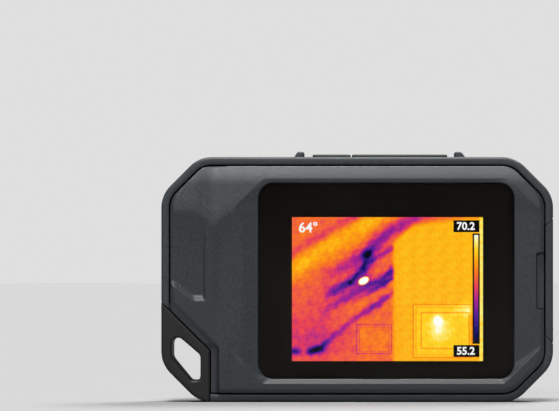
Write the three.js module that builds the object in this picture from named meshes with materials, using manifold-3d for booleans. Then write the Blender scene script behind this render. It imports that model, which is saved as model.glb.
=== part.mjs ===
// A compact rugged thermal imaging camera, built as an assembly of separate pieces.
// Units are millimetres. The camera stands upright on its long bottom edge: +X runs to the right when
// the screen is looked at, +Y points out of the lens side, -Y out of the screen side, and +Z is up.
// The origin is the middle of the bottom edge.

import * as THREE from 'three';
import { ConvexGeometry } from 'three/addons/geometries/ConvexGeometry.js';
import { mergeVertices } from 'three/addons/utils/BufferGeometryUtils.js';
import Module from 'manifold-3d';

const wasm = await Module();
wasm.setup();

// ---------------------------------------------------------------- driving dimensions

const WIDTH = 125;               // over the rubber skin
const DEPTH = 24;                // screen-side face to the top of the lens ring
const BODY_TOP = 78.2;           // top edge of the body, below the keys
const GUARD_TOP = 80;            // overall height, at the finger guards
const CORNER_LEG = 12.1;         // legs of the four 45 degree corners
const CORNER_ROUND = 10;         // round between a corner cut and the straight edges
const GAP = 0.3;                 // clearance between a piece and the pocket cut for it
const FIT = 0.05;                // clearance between flat faces that rest on each other

const SCREEN_FACE = -DEPTH / 2;  // outer face of the screen-side shell
const RING_TOP = DEPTH / 2;      // top of the lens ring
const SKIN = 1.3;                // rubber skin over the hard shell
const WALL = 1.2;                // hard wall under the skin
const RIM_INSET = SKIN + WALL;   // where the parting line runs on the screen side
const RIM_FRONT = -10.4;         // front edge of the rubber rim
const EDGE_LEVEL = 8.4;          // lens-side level along the body's edge
const EDGE_FLARE = 1.2;          // bevel round the lens side's edge
const PLATEAU_LEVEL = 11.4;      // top of the hump over the battery
const SHELL_BACK = EDGE_LEVEL - SKIN;
const SHELL_INNER = 5.8;         // inner face of the hard back wall
const CAVITY_INSET = 3.6;        // inner face of the hard side walls
const CAVITY_CORNER = 2.4;       // the same, measured from the lanyard corner's boundary
const SEAL_LEVEL = -5;           // ledge that carries the housing seal
const SKIRT_END = -6;            // where the screen-side shell's skirt ends

const GLASS = { left: -31.5, right: 50, bottom: 7.5, top: 69.9, round: 5, front: -10.9, back: -9.8 };
const GLASS_LEDGE = -9.45;       // floor of the glass pocket
const SLOPES_MOUTH = [           // where the face starts to slope down to the glass
  [-30.2, 5.9], [47, 5.9], [59.4, 18.3], [59.4, 60], [48, 71.4], [-29.6, 71.4], [-39.3, 61.7], [-39.3, 15],
];
const LEDGE_BACK = -8.6;
const LCD = { left: -23.3, right: 42.7, bottom: 10.9, top: 61.2, front: -9.6, back: -8.2 };
const WINDOW = { left: -24.4, right: 45.6, bottom: 10.2, top: 66.9 };
const FRAME_FRONT = -5.8;        // the display frame's plate
const FRAME_BACK = -5;
const BOARD_FRONT = -2.4;        // the main board
const BOARD_BACK = -1.4;
const CASE_SCREWS = [[-27.5, 12.5], [-27.5, 65], [47.9, 12.5], [47.9, 65]];
const CASE_SCREW = { shank: 0.85, head: 1.6, hole: 1.15, counterbore: 1.9, boss: 2.5, seat: -8.1 };
const BOARD_SCREWS = [[-50, 44], [-12, 63], [40, 9.8]];
const BOARD_SCREW = { shank: 0.75, head: 1.6, hole: 1.05, standoff: 1.8 };

const RING = {                   // the lens ring, its spigot, and the bridge between its recesses
  x: -38.3, z: 53.3, radius: 20.2, spigot: 16.4, seat: 10.45, recess: 17.6, recessFloor: 10.9, bridge: 10.7,
};
const BRIDGE = { half: 7.6, radius: 16, back: 10.25, top: 11.5 };   // the inset plate on the bridge
const IR_Z = 46.7;               // axis of the infrared lens
const CAMERA_Z = 57.8;           // axis of the visible-light lens
const TORCH = { x: -19.3, z: 68.1, radius: 2.6 };
const SHUTTER = { x: -33, z: 41, arm: 7.8, paddle: 3.4, openAngle: 81, front: 2.8, back: 3.1 };

const KEY_DEPTH = 8;             // of the key strip, front to back
const KEY_TOP = 79.2;
const KEY_FLANGE = 74.4;         // top of the flange that keeps a key in
const POWER_KEY = [-14.3, -2.1];
const SAVE_KEY = [-1.7, 28.9];
const KEY_SLOT_FLOOR = 72.6;
const KEY_PACK = [-15.6, 30.2];  // length of the board and membrane under the keys
const KEY_BOARD = { bottom: 69.6, top: 70.4 };

const BATTERY = { left: -2.8, right: 42.4, bottom: 14.4, top: 60.2, front: 2.6, back: 8.4 };
const SOCKET = { left: 50.5, right: 57.6, low: 34.7, high: 42.5, back: 1.9, wall: 0.6 };
const FLEX = 0.2;                // thickness of the flat cables

const CASE_ARC = 3;              // segments in each round of the case outlines
const CIRCLE = 20;               // segments of turned pieces
const SMALL_CIRCLE = 12;         // segments of screws and their bosses
const LARGE_CIRCLE = 40;         // segments of the lens ring
const FAR = 60;                  // reach of a cutter that passes right through

// ---------------------------------------------------------------- materials

function finish(color, roughness, metalness) {
  return new THREE.MeshStandardMaterial({ color, roughness, metalness });
}

const MATERIALS = {
  rubber: finish(0x34373b, 0.85, 0),
  hardPlastic: finish(0x2b2d30, 0.6, 0),
  slatePlastic: finish(0x50565a, 0.55, 0),
  blackPlastic: finish(0x1c1a1a, 0.5, 0),
  ringPlastic: finish(0x2d3338, 0.35, 0.1),
  whitePlastic: finish(0xe8e8e4, 0.4, 0),
  glass: finish(0x151112, 0.06, 0),
  screen: finish(0xd8762a, 0.3, 0),
  taupeMetal: finish(0x7a6c68, 0.4, 0.8),
  bareMetal: finish(0xa8abae, 0.35, 0.9),
  circuitBoard: finish(0x1e5a36, 0.5, 0),
  flex: finish(0xb06a1c, 0.5, 0),
  silicone: finish(0x8c9096, 0.7, 0),
  battery: finish(0x9aa0a8, 0.45, 0.3),
  infraredLens: finish(0x1e5a32, 0.1, 0.3),
  torchLens: finish(0xe3e0a0, 0.3, 0),
};

// ---------------------------------------------------------------- outlines in the XZ plane

const point = (x, z) => new THREE.Vector2(x, z);
const polygon = (pairs) => pairs.map(([x, z]) => point(x, z));

// Rounds the corners of a closed outline. radii holds one radius, or one for each corner.
function rounded(corners, radii, sides = CASE_ARC) {
  return corners.flatMap((corner, index) => {
    const radius = Array.isArray(radii) ? radii[index] : radii;
    if (radius === 0) return [corner];
    const before = corners[(index + corners.length - 1) % corners.length];
    const after = corners[(index + 1) % corners.length];
    const back = before.clone().sub(corner).normalize();
    const ahead = after.clone().sub(corner).normalize();
    const half = Math.acos(back.dot(ahead)) / 2;
    const centre = back.clone().add(ahead).setLength(radius / Math.sin(half)).add(corner);
    const start = back.multiplyScalar(radius / Math.tan(half)).add(corner).sub(centre).angle();
    const end = ahead.multiplyScalar(radius / Math.tan(half)).add(corner).sub(centre).angle();
    const turn = THREE.MathUtils.euclideanModulo(end - start + Math.PI, 2 * Math.PI) - Math.PI;
    return Array.from({ length: sides + 1 }, (_, step) => {
      const angle = start + turn * step / sides;
      return point(centre.x + radius * Math.cos(angle), centre.y + radius * Math.sin(angle));
    });
  });
}

function rectangle(left, bottom, right, top, round = 0) {
  return rounded(polygon([[left, bottom], [right, bottom], [right, top], [left, top]]), round);
}

function circle(x, z, radius, sides = CIRCLE) {
  return Array.from({ length: sides }, (_, index) => {
    const angle = 2 * Math.PI * (index + 0.5) / sides;
    return point(x + radius * Math.cos(angle), z + radius * Math.sin(angle));
  });
}

// The body's outline, moved inward by inset.
function bodyOutline(inset) {
  const leg = CORNER_LEG - inset * (2 - Math.SQRT2);
  const side = WIDTH / 2 - inset;
  const top = BODY_TOP - inset;
  return rounded(polygon([
    [leg - side, inset], [side - leg, inset], [side, inset + leg], [side, top - leg],
    [side - leg, top], [leg - side, top], [-side, top - leg], [-side, inset + leg],
  ]), CORNER_ROUND - inset);
}

// The boundary of the lanyard corner: a vertical stretch and a 45 degree stretch that meet at a knee.
// grow moves it into the body.
const LOOP_EDGE = -46.9;
const LOOP_KNEE = 16.4;

const loopKnee = (grow) => [LOOP_EDGE + grow, LOOP_KNEE + grow * (Math.SQRT2 - 1)];

function loopRegion(grow) {
  const [x, z] = loopKnee(grow);
  return polygon([[x - FAR, z + FAR], [x, z], [x, -FAR], [x - FAR, -FAR]]);
}

// The body's outline without the lanyard corner.
function caseOutline(inset, grow) {
  const leg = CORNER_LEG - inset * (2 - Math.SQRT2);
  const side = WIDTH / 2 - inset;
  const top = BODY_TOP - inset;
  const round = CORNER_ROUND - inset;
  const [x, z] = loopKnee(grow);
  return rounded(polygon([
    [x, inset], [side - leg, inset], [side, inset + leg], [side, top - leg],
    [side - leg, top], [leg - side, top], [-side, top - leg], [-side, z + x + side], [x, z],
  ]), [0, round, round, round, round, round, round, 0, 1.2]);
}

// The lens plate: three 45 degree corners, and a long one beside the flap.
const PLATE = {
  left: -58.9, right: -5.8, top: 74.4, bottom: 20.6, leg: 10, longLeg: 18.6, back: 9.3, level: 10.4,
};

function plateOutline(grow) {
  const left = PLATE.left - grow;
  const right = PLATE.right + grow;
  const top = PLATE.top + grow;
  const bottom = PLATE.bottom - grow;
  const leg = PLATE.leg + grow * (2 - Math.SQRT2);
  const longLeg = PLATE.longLeg + grow * (2 - Math.SQRT2);
  return rounded(polygon([
    [left + longLeg, bottom], [right - leg, bottom], [right, bottom + leg], [right, top - leg],
    [right - leg, top], [left + leg, top], [left, top - leg], [left, bottom + longLeg],
  ]), 2 + grow);
}

// The flap over the charging socket: a flange on the lens side, and a narrow wall on the body's edge.
const FLAP = { hinge: 53, low: 18.9, high: 58.6, wall: 60.1, slant: 2.4 };

function flapFlange(grow) {
  const outer = WIDTH / 2 + 1;
  const inner = FLAP.hinge - grow;
  return polygon([
    [outer, FLAP.low - grow], [outer, FLAP.high + grow], [inner + 1.2, 52 + grow], [inner, 49.2 + grow / 2],
    [inner, 29.9 - grow / 2], [inner + 1.6, 25.8 - grow],
  ]);
}

function flapWall(grow) {
  const outer = WIDTH / 2 + 1;
  const inner = FLAP.wall - grow;
  return polygon([
    [outer, FLAP.low - 1 - grow], [outer, FLAP.high + 1 + grow],
    [inner, FLAP.high - FLAP.slant], [inner, FLAP.low + FLAP.slant],
  ]);
}

// ---------------------------------------------------------------- solids

// Hands a closed geometry to the boolean library.
function solid(geometry) {
  geometry.deleteAttribute('normal');
  geometry.deleteAttribute('uv');
  const merged = mergeVertices(geometry, 1e-4);
  return new wasm.Manifold(new wasm.Mesh({
    numProp: 3,
    vertProperties: new Float32Array(merged.attributes.position.array),
    triVerts: new Uint32Array(merged.index.array),
  }));
}

const join = (...parts) => parts.reduce((whole, part) => whole.add(part));
const cut = (whole, ...tools) => tools.reduce((rest, tool) => rest.subtract(tool), whole);

// An outline in the XZ plane, extruded from y0 to y1.
function slab(outline, y0, y1) {
  const settings = { depth: y1 - y0, bevelEnabled: false };
  const geometry = new THREE.ExtrudeGeometry(new THREE.Shape(outline), settings);
  geometry.rotateX(Math.PI / 2);
  geometry.translate(0, y1, 0);
  return solid(geometry);
}

// The convex solid between one outline at y0 and another at y1.
function frustum(outlineA, y0, outlineB, y1) {
  const at = (outline, y) => outline.map((p) => new THREE.Vector3(p.x, y, p.y));
  return solid(new ConvexGeometry([...at(outlineA, y0), ...at(outlineB, y1)]));
}

function block(x0, x1, y0, y1, z0, z1) {
  const geometry = new THREE.BoxGeometry(x1 - x0, y1 - y0, z1 - z0);
  geometry.translate((x0 + x1) / 2, (y0 + y1) / 2, (z0 + z1) / 2);
  return solid(geometry);
}

// A solid of revolution on an axis parallel to Y. The profile is a list of [radius, y] pairs.
function turned(profile, x, z) {
  const geometry = new THREE.LatheGeometry(profile.map(([radius, y]) => point(radius, y)), CIRCLE);
  geometry.translate(x, 0, z);
  return solid(geometry);
}

const rod = (x, z, radius, y0, y1, sides = CIRCLE) => slab(circle(x, z, radius, sides), y0, y1);

// A bent strip of even thickness. Its path lies in the YZ plane for a strip as wide as from x0 to x1.
function stripAlongX(path, thickness, x0, x1) {
  const geometry = stripGeometry(path, thickness, x0, x1);
  geometry.applyMatrix4(new THREE.Matrix4().set(0, 0, 1, 0, 1, 0, 0, 0, 0, 1, 0, 0, 0, 0, 0, 1));
  return solid(geometry);
}

// The same with its path in the XY plane, as wide as from z0 to z1.
function stripAlongZ(path, thickness, z0, z1) {
  return solid(stripGeometry(path, thickness, z0, z1));
}

function stripGeometry(path, thickness, from, to) {
  const line = polygon(path);
  const sides = line.map((here, index) => {
    const before = line[Math.max(index - 1, 0)];
    const after = line[Math.min(index + 1, line.length - 1)];
    const into = here.clone().sub(before);
    const out = after.clone().sub(here);
    const first = (index > 0 ? into : out).clone().normalize();
    const second = (index < line.length - 1 ? out : into).clone().normalize();
    const along = first.clone().add(second).normalize();
    return point(-along.y, along.x).multiplyScalar(thickness / 2 / along.dot(second));
  });
  const left = line.map((here, index) => here.clone().add(sides[index]));
  const right = line.map((here, index) => here.clone().sub(sides[index])).reverse();
  const shape = new THREE.Shape([...left, ...right]);
  const geometry = new THREE.ExtrudeGeometry(shape, { depth: to - from, bevelEnabled: false });
  geometry.translate(0, 0, from);
  return geometry;
}

const camera = new THREE.Group();

// Turns a finished solid into a named mesh of the camera.
function add(name, material, body) {
  const mesh = body.getMesh();
  const geometry = new THREE.BufferGeometry();
  geometry.setAttribute('position', new THREE.BufferAttribute(new Float32Array(mesh.vertProperties), 3));
  geometry.setIndex(Array.from(mesh.triVerts));
  geometry.computeVertexNormals();
  const node = new THREE.Mesh(geometry, material);
  node.name = name;
  camera.add(node);
}

// ---------------------------------------------------------------- case

// The hump over the battery, drop millimetres below the outer surface.
function hump(drop) {
  const plateau = rectangle(-5.2 + drop, 12.4 + drop, 44.6 - drop, 62.2 - drop, 5);
  return frustum(bodyOutline(EDGE_FLARE + drop), EDGE_LEVEL - 0.1 - drop, plateau, PLATEAU_LEVEL - drop);
}

// The outer surface that the rubber skin, the flap and the lanyard loop share.
const envelope = join(
  frustum(bodyOutline(0.9), RIM_FRONT, bodyOutline(0), RIM_FRONT + 0.9),
  slab(bodyOutline(0), RIM_FRONT + 0.9, EDGE_LEVEL - EDGE_FLARE),
  frustum(bodyOutline(0), EDGE_LEVEL - EDGE_FLARE, bodyOutline(EDGE_FLARE), EDGE_LEVEL),
  hump(0),
  frustum(bodyOutline(EDGE_FLARE), EDGE_LEVEL - 0.1, plateOutline(1), PLATE.level + 0.1),
);

const loopCutter = slab(loopRegion(GAP), -FAR, FAR);
const keySlot = block(
  POWER_KEY[0] - GAP, SAVE_KEY[1] + GAP, -KEY_DEPTH / 2 - GAP, KEY_DEPTH / 2 + GAP,
  KEY_SLOT_FLOOR, GUARD_TOP + 10,
);
const flapCutter = slab(flapWall(GAP), -FAR, FAR);

// The two screws that hold the lanyard loop run across its 45 degree boundary, heads inside the case.
const LOOP_SCREWS = [[-55.8, 25.3], [-50.4, 19.9]];
const LOOP_SCREW = { shank: 0.8, length: 6.2, head: 1.5, headHeight: 1, headAt: 3.5, level: -1 };

// grow turns the screw into the cutter for its hole.
function loopScrew([x, z], grow) {
  const headRadius = LOOP_SCREW.head + grow;
  const shankRadius = LOOP_SCREW.shank + grow;
  const headHeight = LOOP_SCREW.headHeight + 3 * grow;
  const head = new THREE.CylinderGeometry(headRadius, headRadius, headHeight, SMALL_CIRCLE);
  head.translate(0, LOOP_SCREW.headAt + 1.5 * grow, 0);
  const shank = new THREE.CylinderGeometry(shankRadius, shankRadius, LOOP_SCREW.length + grow, SMALL_CIRCLE);
  const parts = [shank, head].map((geometry) => {
    geometry.rotateZ(-Math.PI / 2);
    geometry.rotateY(-Math.PI / 4);
    geometry.translate(x, LOOP_SCREW.level, z);
    return solid(geometry);
  });
  return join(...parts);
}

const loopScrewHoles = LOOP_SCREWS.map((place) => loopScrew(place, GAP));

const strapRecess = { left: 50.5, right: 53.4, floor: 8, roof: 9.7, low: 30.7, high: 48.5 };
const sensorOpening = rectangle(-46.6, 35.4, -30.3, 70.2);
const nailNotch = rectangle(57, 29.4, 64, 47.9, 1.2);

// A rib beside the keys: upright towards them, and sloping down on the other side.
function fingerGuard(upright, foot) {
  const crown = upright + 2.1 * Math.sign(foot - upright);
  const root = BODY_TOP - 1;
  return slab(polygon([[upright, root], [upright, GUARD_TOP], [crown, GUARD_TOP], [foot, root]]), -5.5, 5.5);
}

// A shallow scoop in the lens side's long edge, from its open end at zOpen to its wall at zWall.
function edgeScoop(zOpen, zWall) {
  const floor = polygon([[43.6, zOpen], [-9.5, zOpen], [1.7, zWall], [34.7, zWall]]);
  const mouth = polygon([[45.1, zOpen], [-11, zOpen], [0.5, zWall], [35.9, zWall]]);
  return frustum(floor, EDGE_LEVEL + 0.3, mouth, DEPTH);
}

function gripOvermould() {
  const { left, right, floor, roof, low, high } = strapRecess;
  const strapPocket = block(left, right, floor, roof, low, high);
  return cut(
    join(envelope, fingerGuard(-17, -20.9), fingerGuard(31.2, 35.5)),
    slab(bodyOutline(RIM_INSET), -FAR, RIM_FRONT + SKIN),
    slab(bodyOutline(SKIN), RIM_FRONT + 1, SHELL_BACK + FIT),
    hump(SKIN),
    slab(plateOutline(0.5), 0, FAR),
    edgeScoop(90, 68.1),
    edgeScoop(-10, 9),
    strapPocket,
    keySlot,
    slab(flapFlange(GAP), 0, FAR),
    flapCutter,
    loopCutter,
  );
}

function lensSideShell() {
  const batteryBay = block(
    BATTERY.left - 0.8, BATTERY.right + 0.6, 0, BATTERY.back + 0.35, BATTERY.bottom - 0.4, BATTERY.top + 0.4,
  );
  const socketOpening = block(50, 70, -1.7, SOCKET.back + 0.4, SOCKET.low - 0.4, SOCKET.high + 0.4);
  const plugRecess = block(57.8, 70, -3.2, 4.4, 31.4, 45.8);
  const outside = join(
    slab(caseOutline(SKIN + FIT, GAP), RIM_FRONT + SKIN + FIT, SHELL_BACK),
    cut(hump(SKIN + FIT), loopCutter),
    slab(plateOutline(0.2), SHELL_BACK - 1, PLATE.back),
  );
  const inside = join(
    slab(caseOutline(CAVITY_INSET, CAVITY_CORNER), SEAL_LEVEL - 1, SHELL_INNER),
    slab(caseOutline(RIM_INSET + FIT, 1.6), -FAR, SEAL_LEVEL),
    batteryBay,
  );
  const socketWall = block(56.2, 59.6, SEAL_LEVEL, SHELL_INNER + 1, 16, 61.5);
  const bosses = CASE_SCREWS.map(([x, z]) => (
    rod(x, z, CASE_SCREW.boss, FRAME_BACK + FIT, SHELL_INNER + 0.5, SMALL_CIRCLE)
  ));
  const pilots = CASE_SCREWS.map(([x, z]) => rod(x, z, CASE_SCREW.hole, -FAR, SHELL_INNER - 1, SMALL_CIRCLE));
  return cut(
    join(cut(outside, inside), socketWall, ...bosses),
    ...pilots,
    slab(plateOutline(0.4), PLATE.back - 0.1, FAR),
    slab(sensorOpening, 0, FAR),
    rod(TORCH.x, TORCH.z, TORCH.radius + GAP, 0, FAR),
    socketOpening,
    plugRecess,
    keySlot,
    flapCutter,
    ...loopScrewHoles,
  );
}

function screenSideShell() {
  const inset = RIM_INSET + 0.35;
  const skirt = 1.1;
  const faceBack = -10;
  const gap = 0.2;
  const pocket = rectangle(
    GLASS.left - gap, GLASS.bottom - gap, GLASS.right + gap, GLASS.top + gap, GLASS.round,
  );
  const face = join(
    frustum(bodyOutline(inset + 0.7), SCREEN_FACE, bodyOutline(inset), SCREEN_FACE + 0.7),
    slab(bodyOutline(inset), SCREEN_FACE + 0.7, faceBack),
    slab(rectangle(GLASS.left - 2.5, 4.6, GLASS.right + 2.5, GLASS.top + 2.5, 2), faceBack - 1, LEDGE_BACK),
  );
  const skirtRing = cut(
    slab(caseOutline(inset, 1.9), faceBack - 0.5, SKIRT_END),
    slab(caseOutline(inset + skirt, 1.9 + skirt), faceBack - 1, 0),
  );
  const slopes = frustum(rounded(polygon(SLOPES_MOUTH), 4), SCREEN_FACE - 0.01, pocket, GLASS.front - 0.1);
  const thumbMouth = polygon([[-59, 60.2], [-58.8, 38], [-52.8, 33], [-48.6, 33], [-48.6, 60.2]]);
  const thumbFloor = polygon([[-58, 56.2], [-58, 40], [-53, 36], [-50.6, 36], [-50.6, 56.2]]);
  const thumb = frustum(
    rounded(thumbMouth, 1.5), SCREEN_FACE - 0.01,
    rounded(thumbFloor, 1), SCREEN_FACE + 0.9,
  );
  const standoffs = CASE_SCREWS.map(([x, z]) => (
    rod(x, z, CASE_SCREW.boss, LEDGE_BACK - 0.5, FRAME_FRONT - FIT, SMALL_CIRCLE)
  ));
  const screwHoles = CASE_SCREWS.map(([x, z]) => join(
    rod(x, z, CASE_SCREW.hole, -FAR, 0, SMALL_CIRCLE),
    rod(x, z, CASE_SCREW.counterbore, -FAR, CASE_SCREW.seat, SMALL_CIRCLE),
  ));
  return cut(
    join(face, skirtRing, ...standoffs),
    slab(pocket, -FAR, GLASS_LEDGE),
    slab(rectangle(WINDOW.left, WINDOW.bottom, WINDOW.right, WINDOW.top, 1), -FAR, 0),
    slopes,
    thumb,
    slab(nailNotch, -FAR, SCREEN_FACE + 1.1),
    ...screwHoles,
    flapCutter,
    loopCutter,
  );
}

function lanyardLoop() {
  const eye = rounded(
    polygon([[-59.2, 22.9], [-50, 15], [-50, 6.8], [-53.1, 6.8], [-59.2, 14.2]]),
    [2, 2, 1.6, 1.2, 3],
  );
  return cut(envelope.intersect(slab(loopRegion(0), -FAR, FAR)), slab(eye, -FAR, FAR), ...loopScrewHoles);
}

// A silicone cord on the lens-side shell's ledge, pressed by the screen-side shell's skirt.
function housingSeal() {
  return cut(
    slab(caseOutline(2.75, 1.8), SEAL_LEVEL - 0.95, SEAL_LEVEL - FIT),
    slab(caseOutline(3.5, 2.3), -FAR, FAR),
  );
}

function addCase() {
  add('lens_side_shell', MATERIALS.hardPlastic, lensSideShell());
  add('grip_overmould', MATERIALS.rubber, gripOvermould());
  add('screen_side_shell', MATERIALS.slatePlastic, screenSideShell());
  add('housing_seal', MATERIALS.silicone, housingSeal());
  add('lanyard_loop', MATERIALS.blackPlastic, lanyardLoop());
  LOOP_SCREWS.forEach((place, index) => {
    add(`loop_screw_${index + 1}`, MATERIALS.bareMetal, loopScrew(place, 0));
  });
  CASE_SCREWS.forEach(([x, z], index) => {
    const { head, shank, seat } = CASE_SCREW;
    const screw = join(
      rod(x, z, head, seat - 1.2, seat - FIT, SMALL_CIRCLE),
      rod(x, z, shank, seat - 0.1, 2.5, SMALL_CIRCLE),
    );
    add(`case_screw_${index + 1}`, MATERIALS.bareMetal, screw);
  });
}

// ---------------------------------------------------------------- charging socket and its flap

function usbCover() {
  const underside = SHELL_BACK + GAP;
  const region = join(
    cut(slab(flapFlange(0), underside, FAR), hump(SKIN - GAP)),
    slab(flapWall(0), -FAR, underside + 0.1),
  );
  const plug = block(58.3, FLAP.wall + 0.4, -2, 2, 33.5, 43.5);
  return join(envelope.intersect(region), plug);
}

function usbSocket() {
  const { left, right, low, high, back, wall } = SOCKET;
  return cut(
    block(left, right, BOARD_BACK + FIT, back, low, high),
    block(left + 2, right + 2, BOARD_BACK + wall, back - 0.5, low + wall, high - wall),
  );
}

// The strip of rubber that the flap hangs on, glued into a recess in the skin.
function usbCoverStrap() {
  const { left, right, floor, low, high } = strapRecess;
  return block(left + GAP, right - 0.8, floor + 0.9, floor + 1.4, low + GAP, high - GAP);
}

function addChargingSocket() {
  add('usb_cover', MATERIALS.rubber, usbCover());
  add('usb_cover_strap', MATERIALS.rubber, usbCoverStrap());
  add('usb_socket', MATERIALS.bareMetal, usbSocket());
}

// ---------------------------------------------------------------- keys

// A cap, the flange that keeps it in, and the stem over its switch.
function key([left, right]) {
  const half = KEY_DEPTH / 2;
  const middle = (left + right) / 2;
  const stem = 1.5;
  return join(
    block(left, right, -half, half, KEY_FLANGE - 0.1, KEY_TOP),
    block(left - 0.1, right + 0.1, -half - 0.9, half + 0.9, KEY_FLANGE - 0.6, KEY_FLANGE),
    block(middle - stem, middle + stem, -stem, stem, KEY_SLOT_FLOOR + 0.5, KEY_FLANGE - 0.5),
  );
}

function keySwitch([left, right]) {
  const middle = (left + right) / 2;
  const half = 1.6;
  const bottom = KEY_BOARD.top + FIT;
  return block(middle - half, middle + half, -half, half, bottom, bottom + 1.1);
}

function addKeys() {
  const [left, right] = KEY_PACK;
  const half = KEY_DEPTH / 2 + 0.6;
  const wall = 0.8;
  const membraneTop = KEY_SLOT_FLOOR - 0.1;
  const membrane = cut(
    block(left, right, -half, half, KEY_BOARD.top + FIT, membraneTop),
    block(left + wall, right - wall, wall - half, half - wall, 0, membraneTop - 0.3),
  );
  const flexPath = [[4.1, KEY_BOARD.bottom - 0.1], [4.1, 63.5], [BOARD_BACK + 0.2, 63.5]];
  add('power_button', MATERIALS.blackPlastic, key(POWER_KEY));
  add('save_button', MATERIALS.blackPlastic, key(SAVE_KEY));
  add('key_membrane', MATERIALS.silicone, membrane);
  add('power_switch', MATERIALS.bareMetal, keySwitch(POWER_KEY));
  add('save_switch', MATERIALS.bareMetal, keySwitch(SAVE_KEY));
  add('key_board', MATERIALS.circuitBoard, block(left, right, -half, half, KEY_BOARD.bottom, KEY_BOARD.top));
  add('key_flex', MATERIALS.flex, stripAlongX(flexPath, FLEX, 5, 13));
}

// ---------------------------------------------------------------- display

const holes = (places, radius) => places.map(([x, z]) => rod(x, z, radius, -FAR, FAR, SMALL_CIRCLE));

function displayFrame() {
  const middle = (FRAME_FRONT + FRAME_BACK) / 2;
  const standoffs = BOARD_SCREWS.map(([x, z]) => (
    rod(x, z, BOARD_SCREW.standoff, middle, BOARD_FRONT - FIT, SMALL_CIRCLE)
  ));
  const keyShelf = block(-14, 28, FRAME_FRONT, 3.6, KEY_BOARD.bottom - 0.9, KEY_BOARD.bottom - 0.1);
  const lcdFlexSlot = block(1.5, 20.5, -FAR, 0, 7.4, 9.4);
  const touchFlexSlot = block(43.6, 45.2, -FAR, 0, 27.5, 40.5);
  return cut(
    join(slab(caseOutline(4.8, 3.6), FRAME_FRONT, FRAME_BACK), keyShelf, ...standoffs),
    ...holes(CASE_SCREWS, CASE_SCREW.hole),
    ...holes(BOARD_SCREWS, BOARD_SCREW.hole),
    lcdFlexSlot,
    touchFlexSlot,
  );
}

function addDisplay() {
  const glass = rectangle(GLASS.left, GLASS.bottom, GLASS.right, GLASS.top, GLASS.round);
  const gasketFront = GLASS.back + FIT;
  const gasketBack = GLASS_LEDGE - FIT;
  const gasketRim = rectangle(
    GLASS.left + GAP, GLASS.bottom + GAP, GLASS.right - GAP, GLASS.top - GAP, GLASS.round - 1,
  );
  const gasketHole = rectangle(
    WINDOW.left - 0.4, WINDOW.bottom - 0.4, WINDOW.right + 0.4, WINDOW.top + 0.4, 1,
  );
  const gasket = cut(slab(gasketRim, gasketFront, gasketBack), slab(gasketHole, -FAR, FAR));
  const backlight = block(
    LCD.left + GAP, LCD.right - GAP, LCD.back + FIT, FRAME_FRONT - 0.1, LCD.bottom + GAP, LCD.top - GAP,
  );
  const touchPath = [[45.2, -9.55], [44.4, -9.55], [44.4, -2.75], [47, -2.75]];
  const lcdPath = [[-7.2, 10.6], [-7.2, 8.4], [-3, 8.4], [-3, 12]];
  add('cover_glass', MATERIALS.glass, slab(glass, GLASS.front, GLASS.back));
  add('glass_gasket', MATERIALS.silicone, gasket);
  add('lcd_panel', MATERIALS.screen, block(LCD.left, LCD.right, LCD.front, LCD.back, LCD.bottom, LCD.top));
  add('lcd_backlight', MATERIALS.whitePlastic, backlight);
  add('display_frame', MATERIALS.bareMetal, displayFrame());
  add('lcd_flex', MATERIALS.flex, stripAlongX(lcdPath, FLEX, 2, 20));
  add('touch_flex', MATERIALS.flex, stripAlongZ(touchPath, FLEX, 28, 40));
}

// ---------------------------------------------------------------- electronics

function mainBoard() {
  const outline = [
    [-42.5, 7], [47, 7], [55.7, 15.7], [55.7, 62], [51.7, 66], [-48, 66], [-56, 58], [-56, 33.5], [-42.5, 20],
  ];
  return cut(
    slab(polygon(outline), BOARD_FRONT, BOARD_BACK),
    ...holes(CASE_SCREWS, CASE_SCREW.boss + 0.4),
    ...holes(BOARD_SCREWS, BOARD_SCREW.hole),
  );
}

function addElectronics() {
  const chipBack = BOARD_FRONT - FIT;
  const shieldFront = -4.3;
  const battery = rectangle(BATTERY.left, BATTERY.bottom, BATTERY.right, BATTERY.top, 1.5);
  add('main_board', MATERIALS.circuitBoard, mainBoard());
  BOARD_SCREWS.forEach(([x, z], index) => {
    const head = rod(x, z, BOARD_SCREW.head, BOARD_BACK + FIT, BOARD_BACK + 1, SMALL_CIRCLE);
    const shank = rod(x, z, BOARD_SCREW.shank, FRAME_FRONT, BOARD_BACK + 0.1, SMALL_CIRCLE);
    add(`board_screw_${index + 1}`, MATERIALS.bareMetal, join(head, shank));
  });
  add('processor_shield', MATERIALS.bareMetal, block(-14, 10, shieldFront, chipBack, 26, 48));
  add('thermal_pad', MATERIALS.silicone, block(-10, 6, FRAME_BACK + FIT, shieldFront - FIT, 29, 45));
  add('memory_chip', MATERIALS.blackPlastic, block(16, 28, -3.6, chipBack, 32, 44));
  add('battery', MATERIALS.battery, slab(battery, BATTERY.front, BATTERY.back));
  add('battery_pad', MATERIALS.silicone, block(4, 36, BATTERY.back + FIT, BATTERY.back + 0.3, 20, 54));
  add('battery_connector', MATERIALS.whitePlastic, block(-9, -5, BOARD_BACK + FIT, 1, 34, 40));
  add('battery_lead', MATERIALS.flex, stripAlongZ([[-3, 5], [-7, 5], [-7, 1.1]], 0.4, 35, 39));
}

// ---------------------------------------------------------------- lens side

function lensPlate() {
  return cut(
    join(
      slab(plateOutline(0), PLATE.back, PLATE.level - 0.6),
      frustum(plateOutline(0), PLATE.level - 0.6, plateOutline(-0.6), PLATE.level),
    ),
    rod(RING.x, RING.z, RING.spigot + GAP, 0, FAR, LARGE_CIRCLE),
    rod(TORCH.x, TORCH.z, TORCH.radius + GAP, 0, FAR),
  );
}

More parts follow.
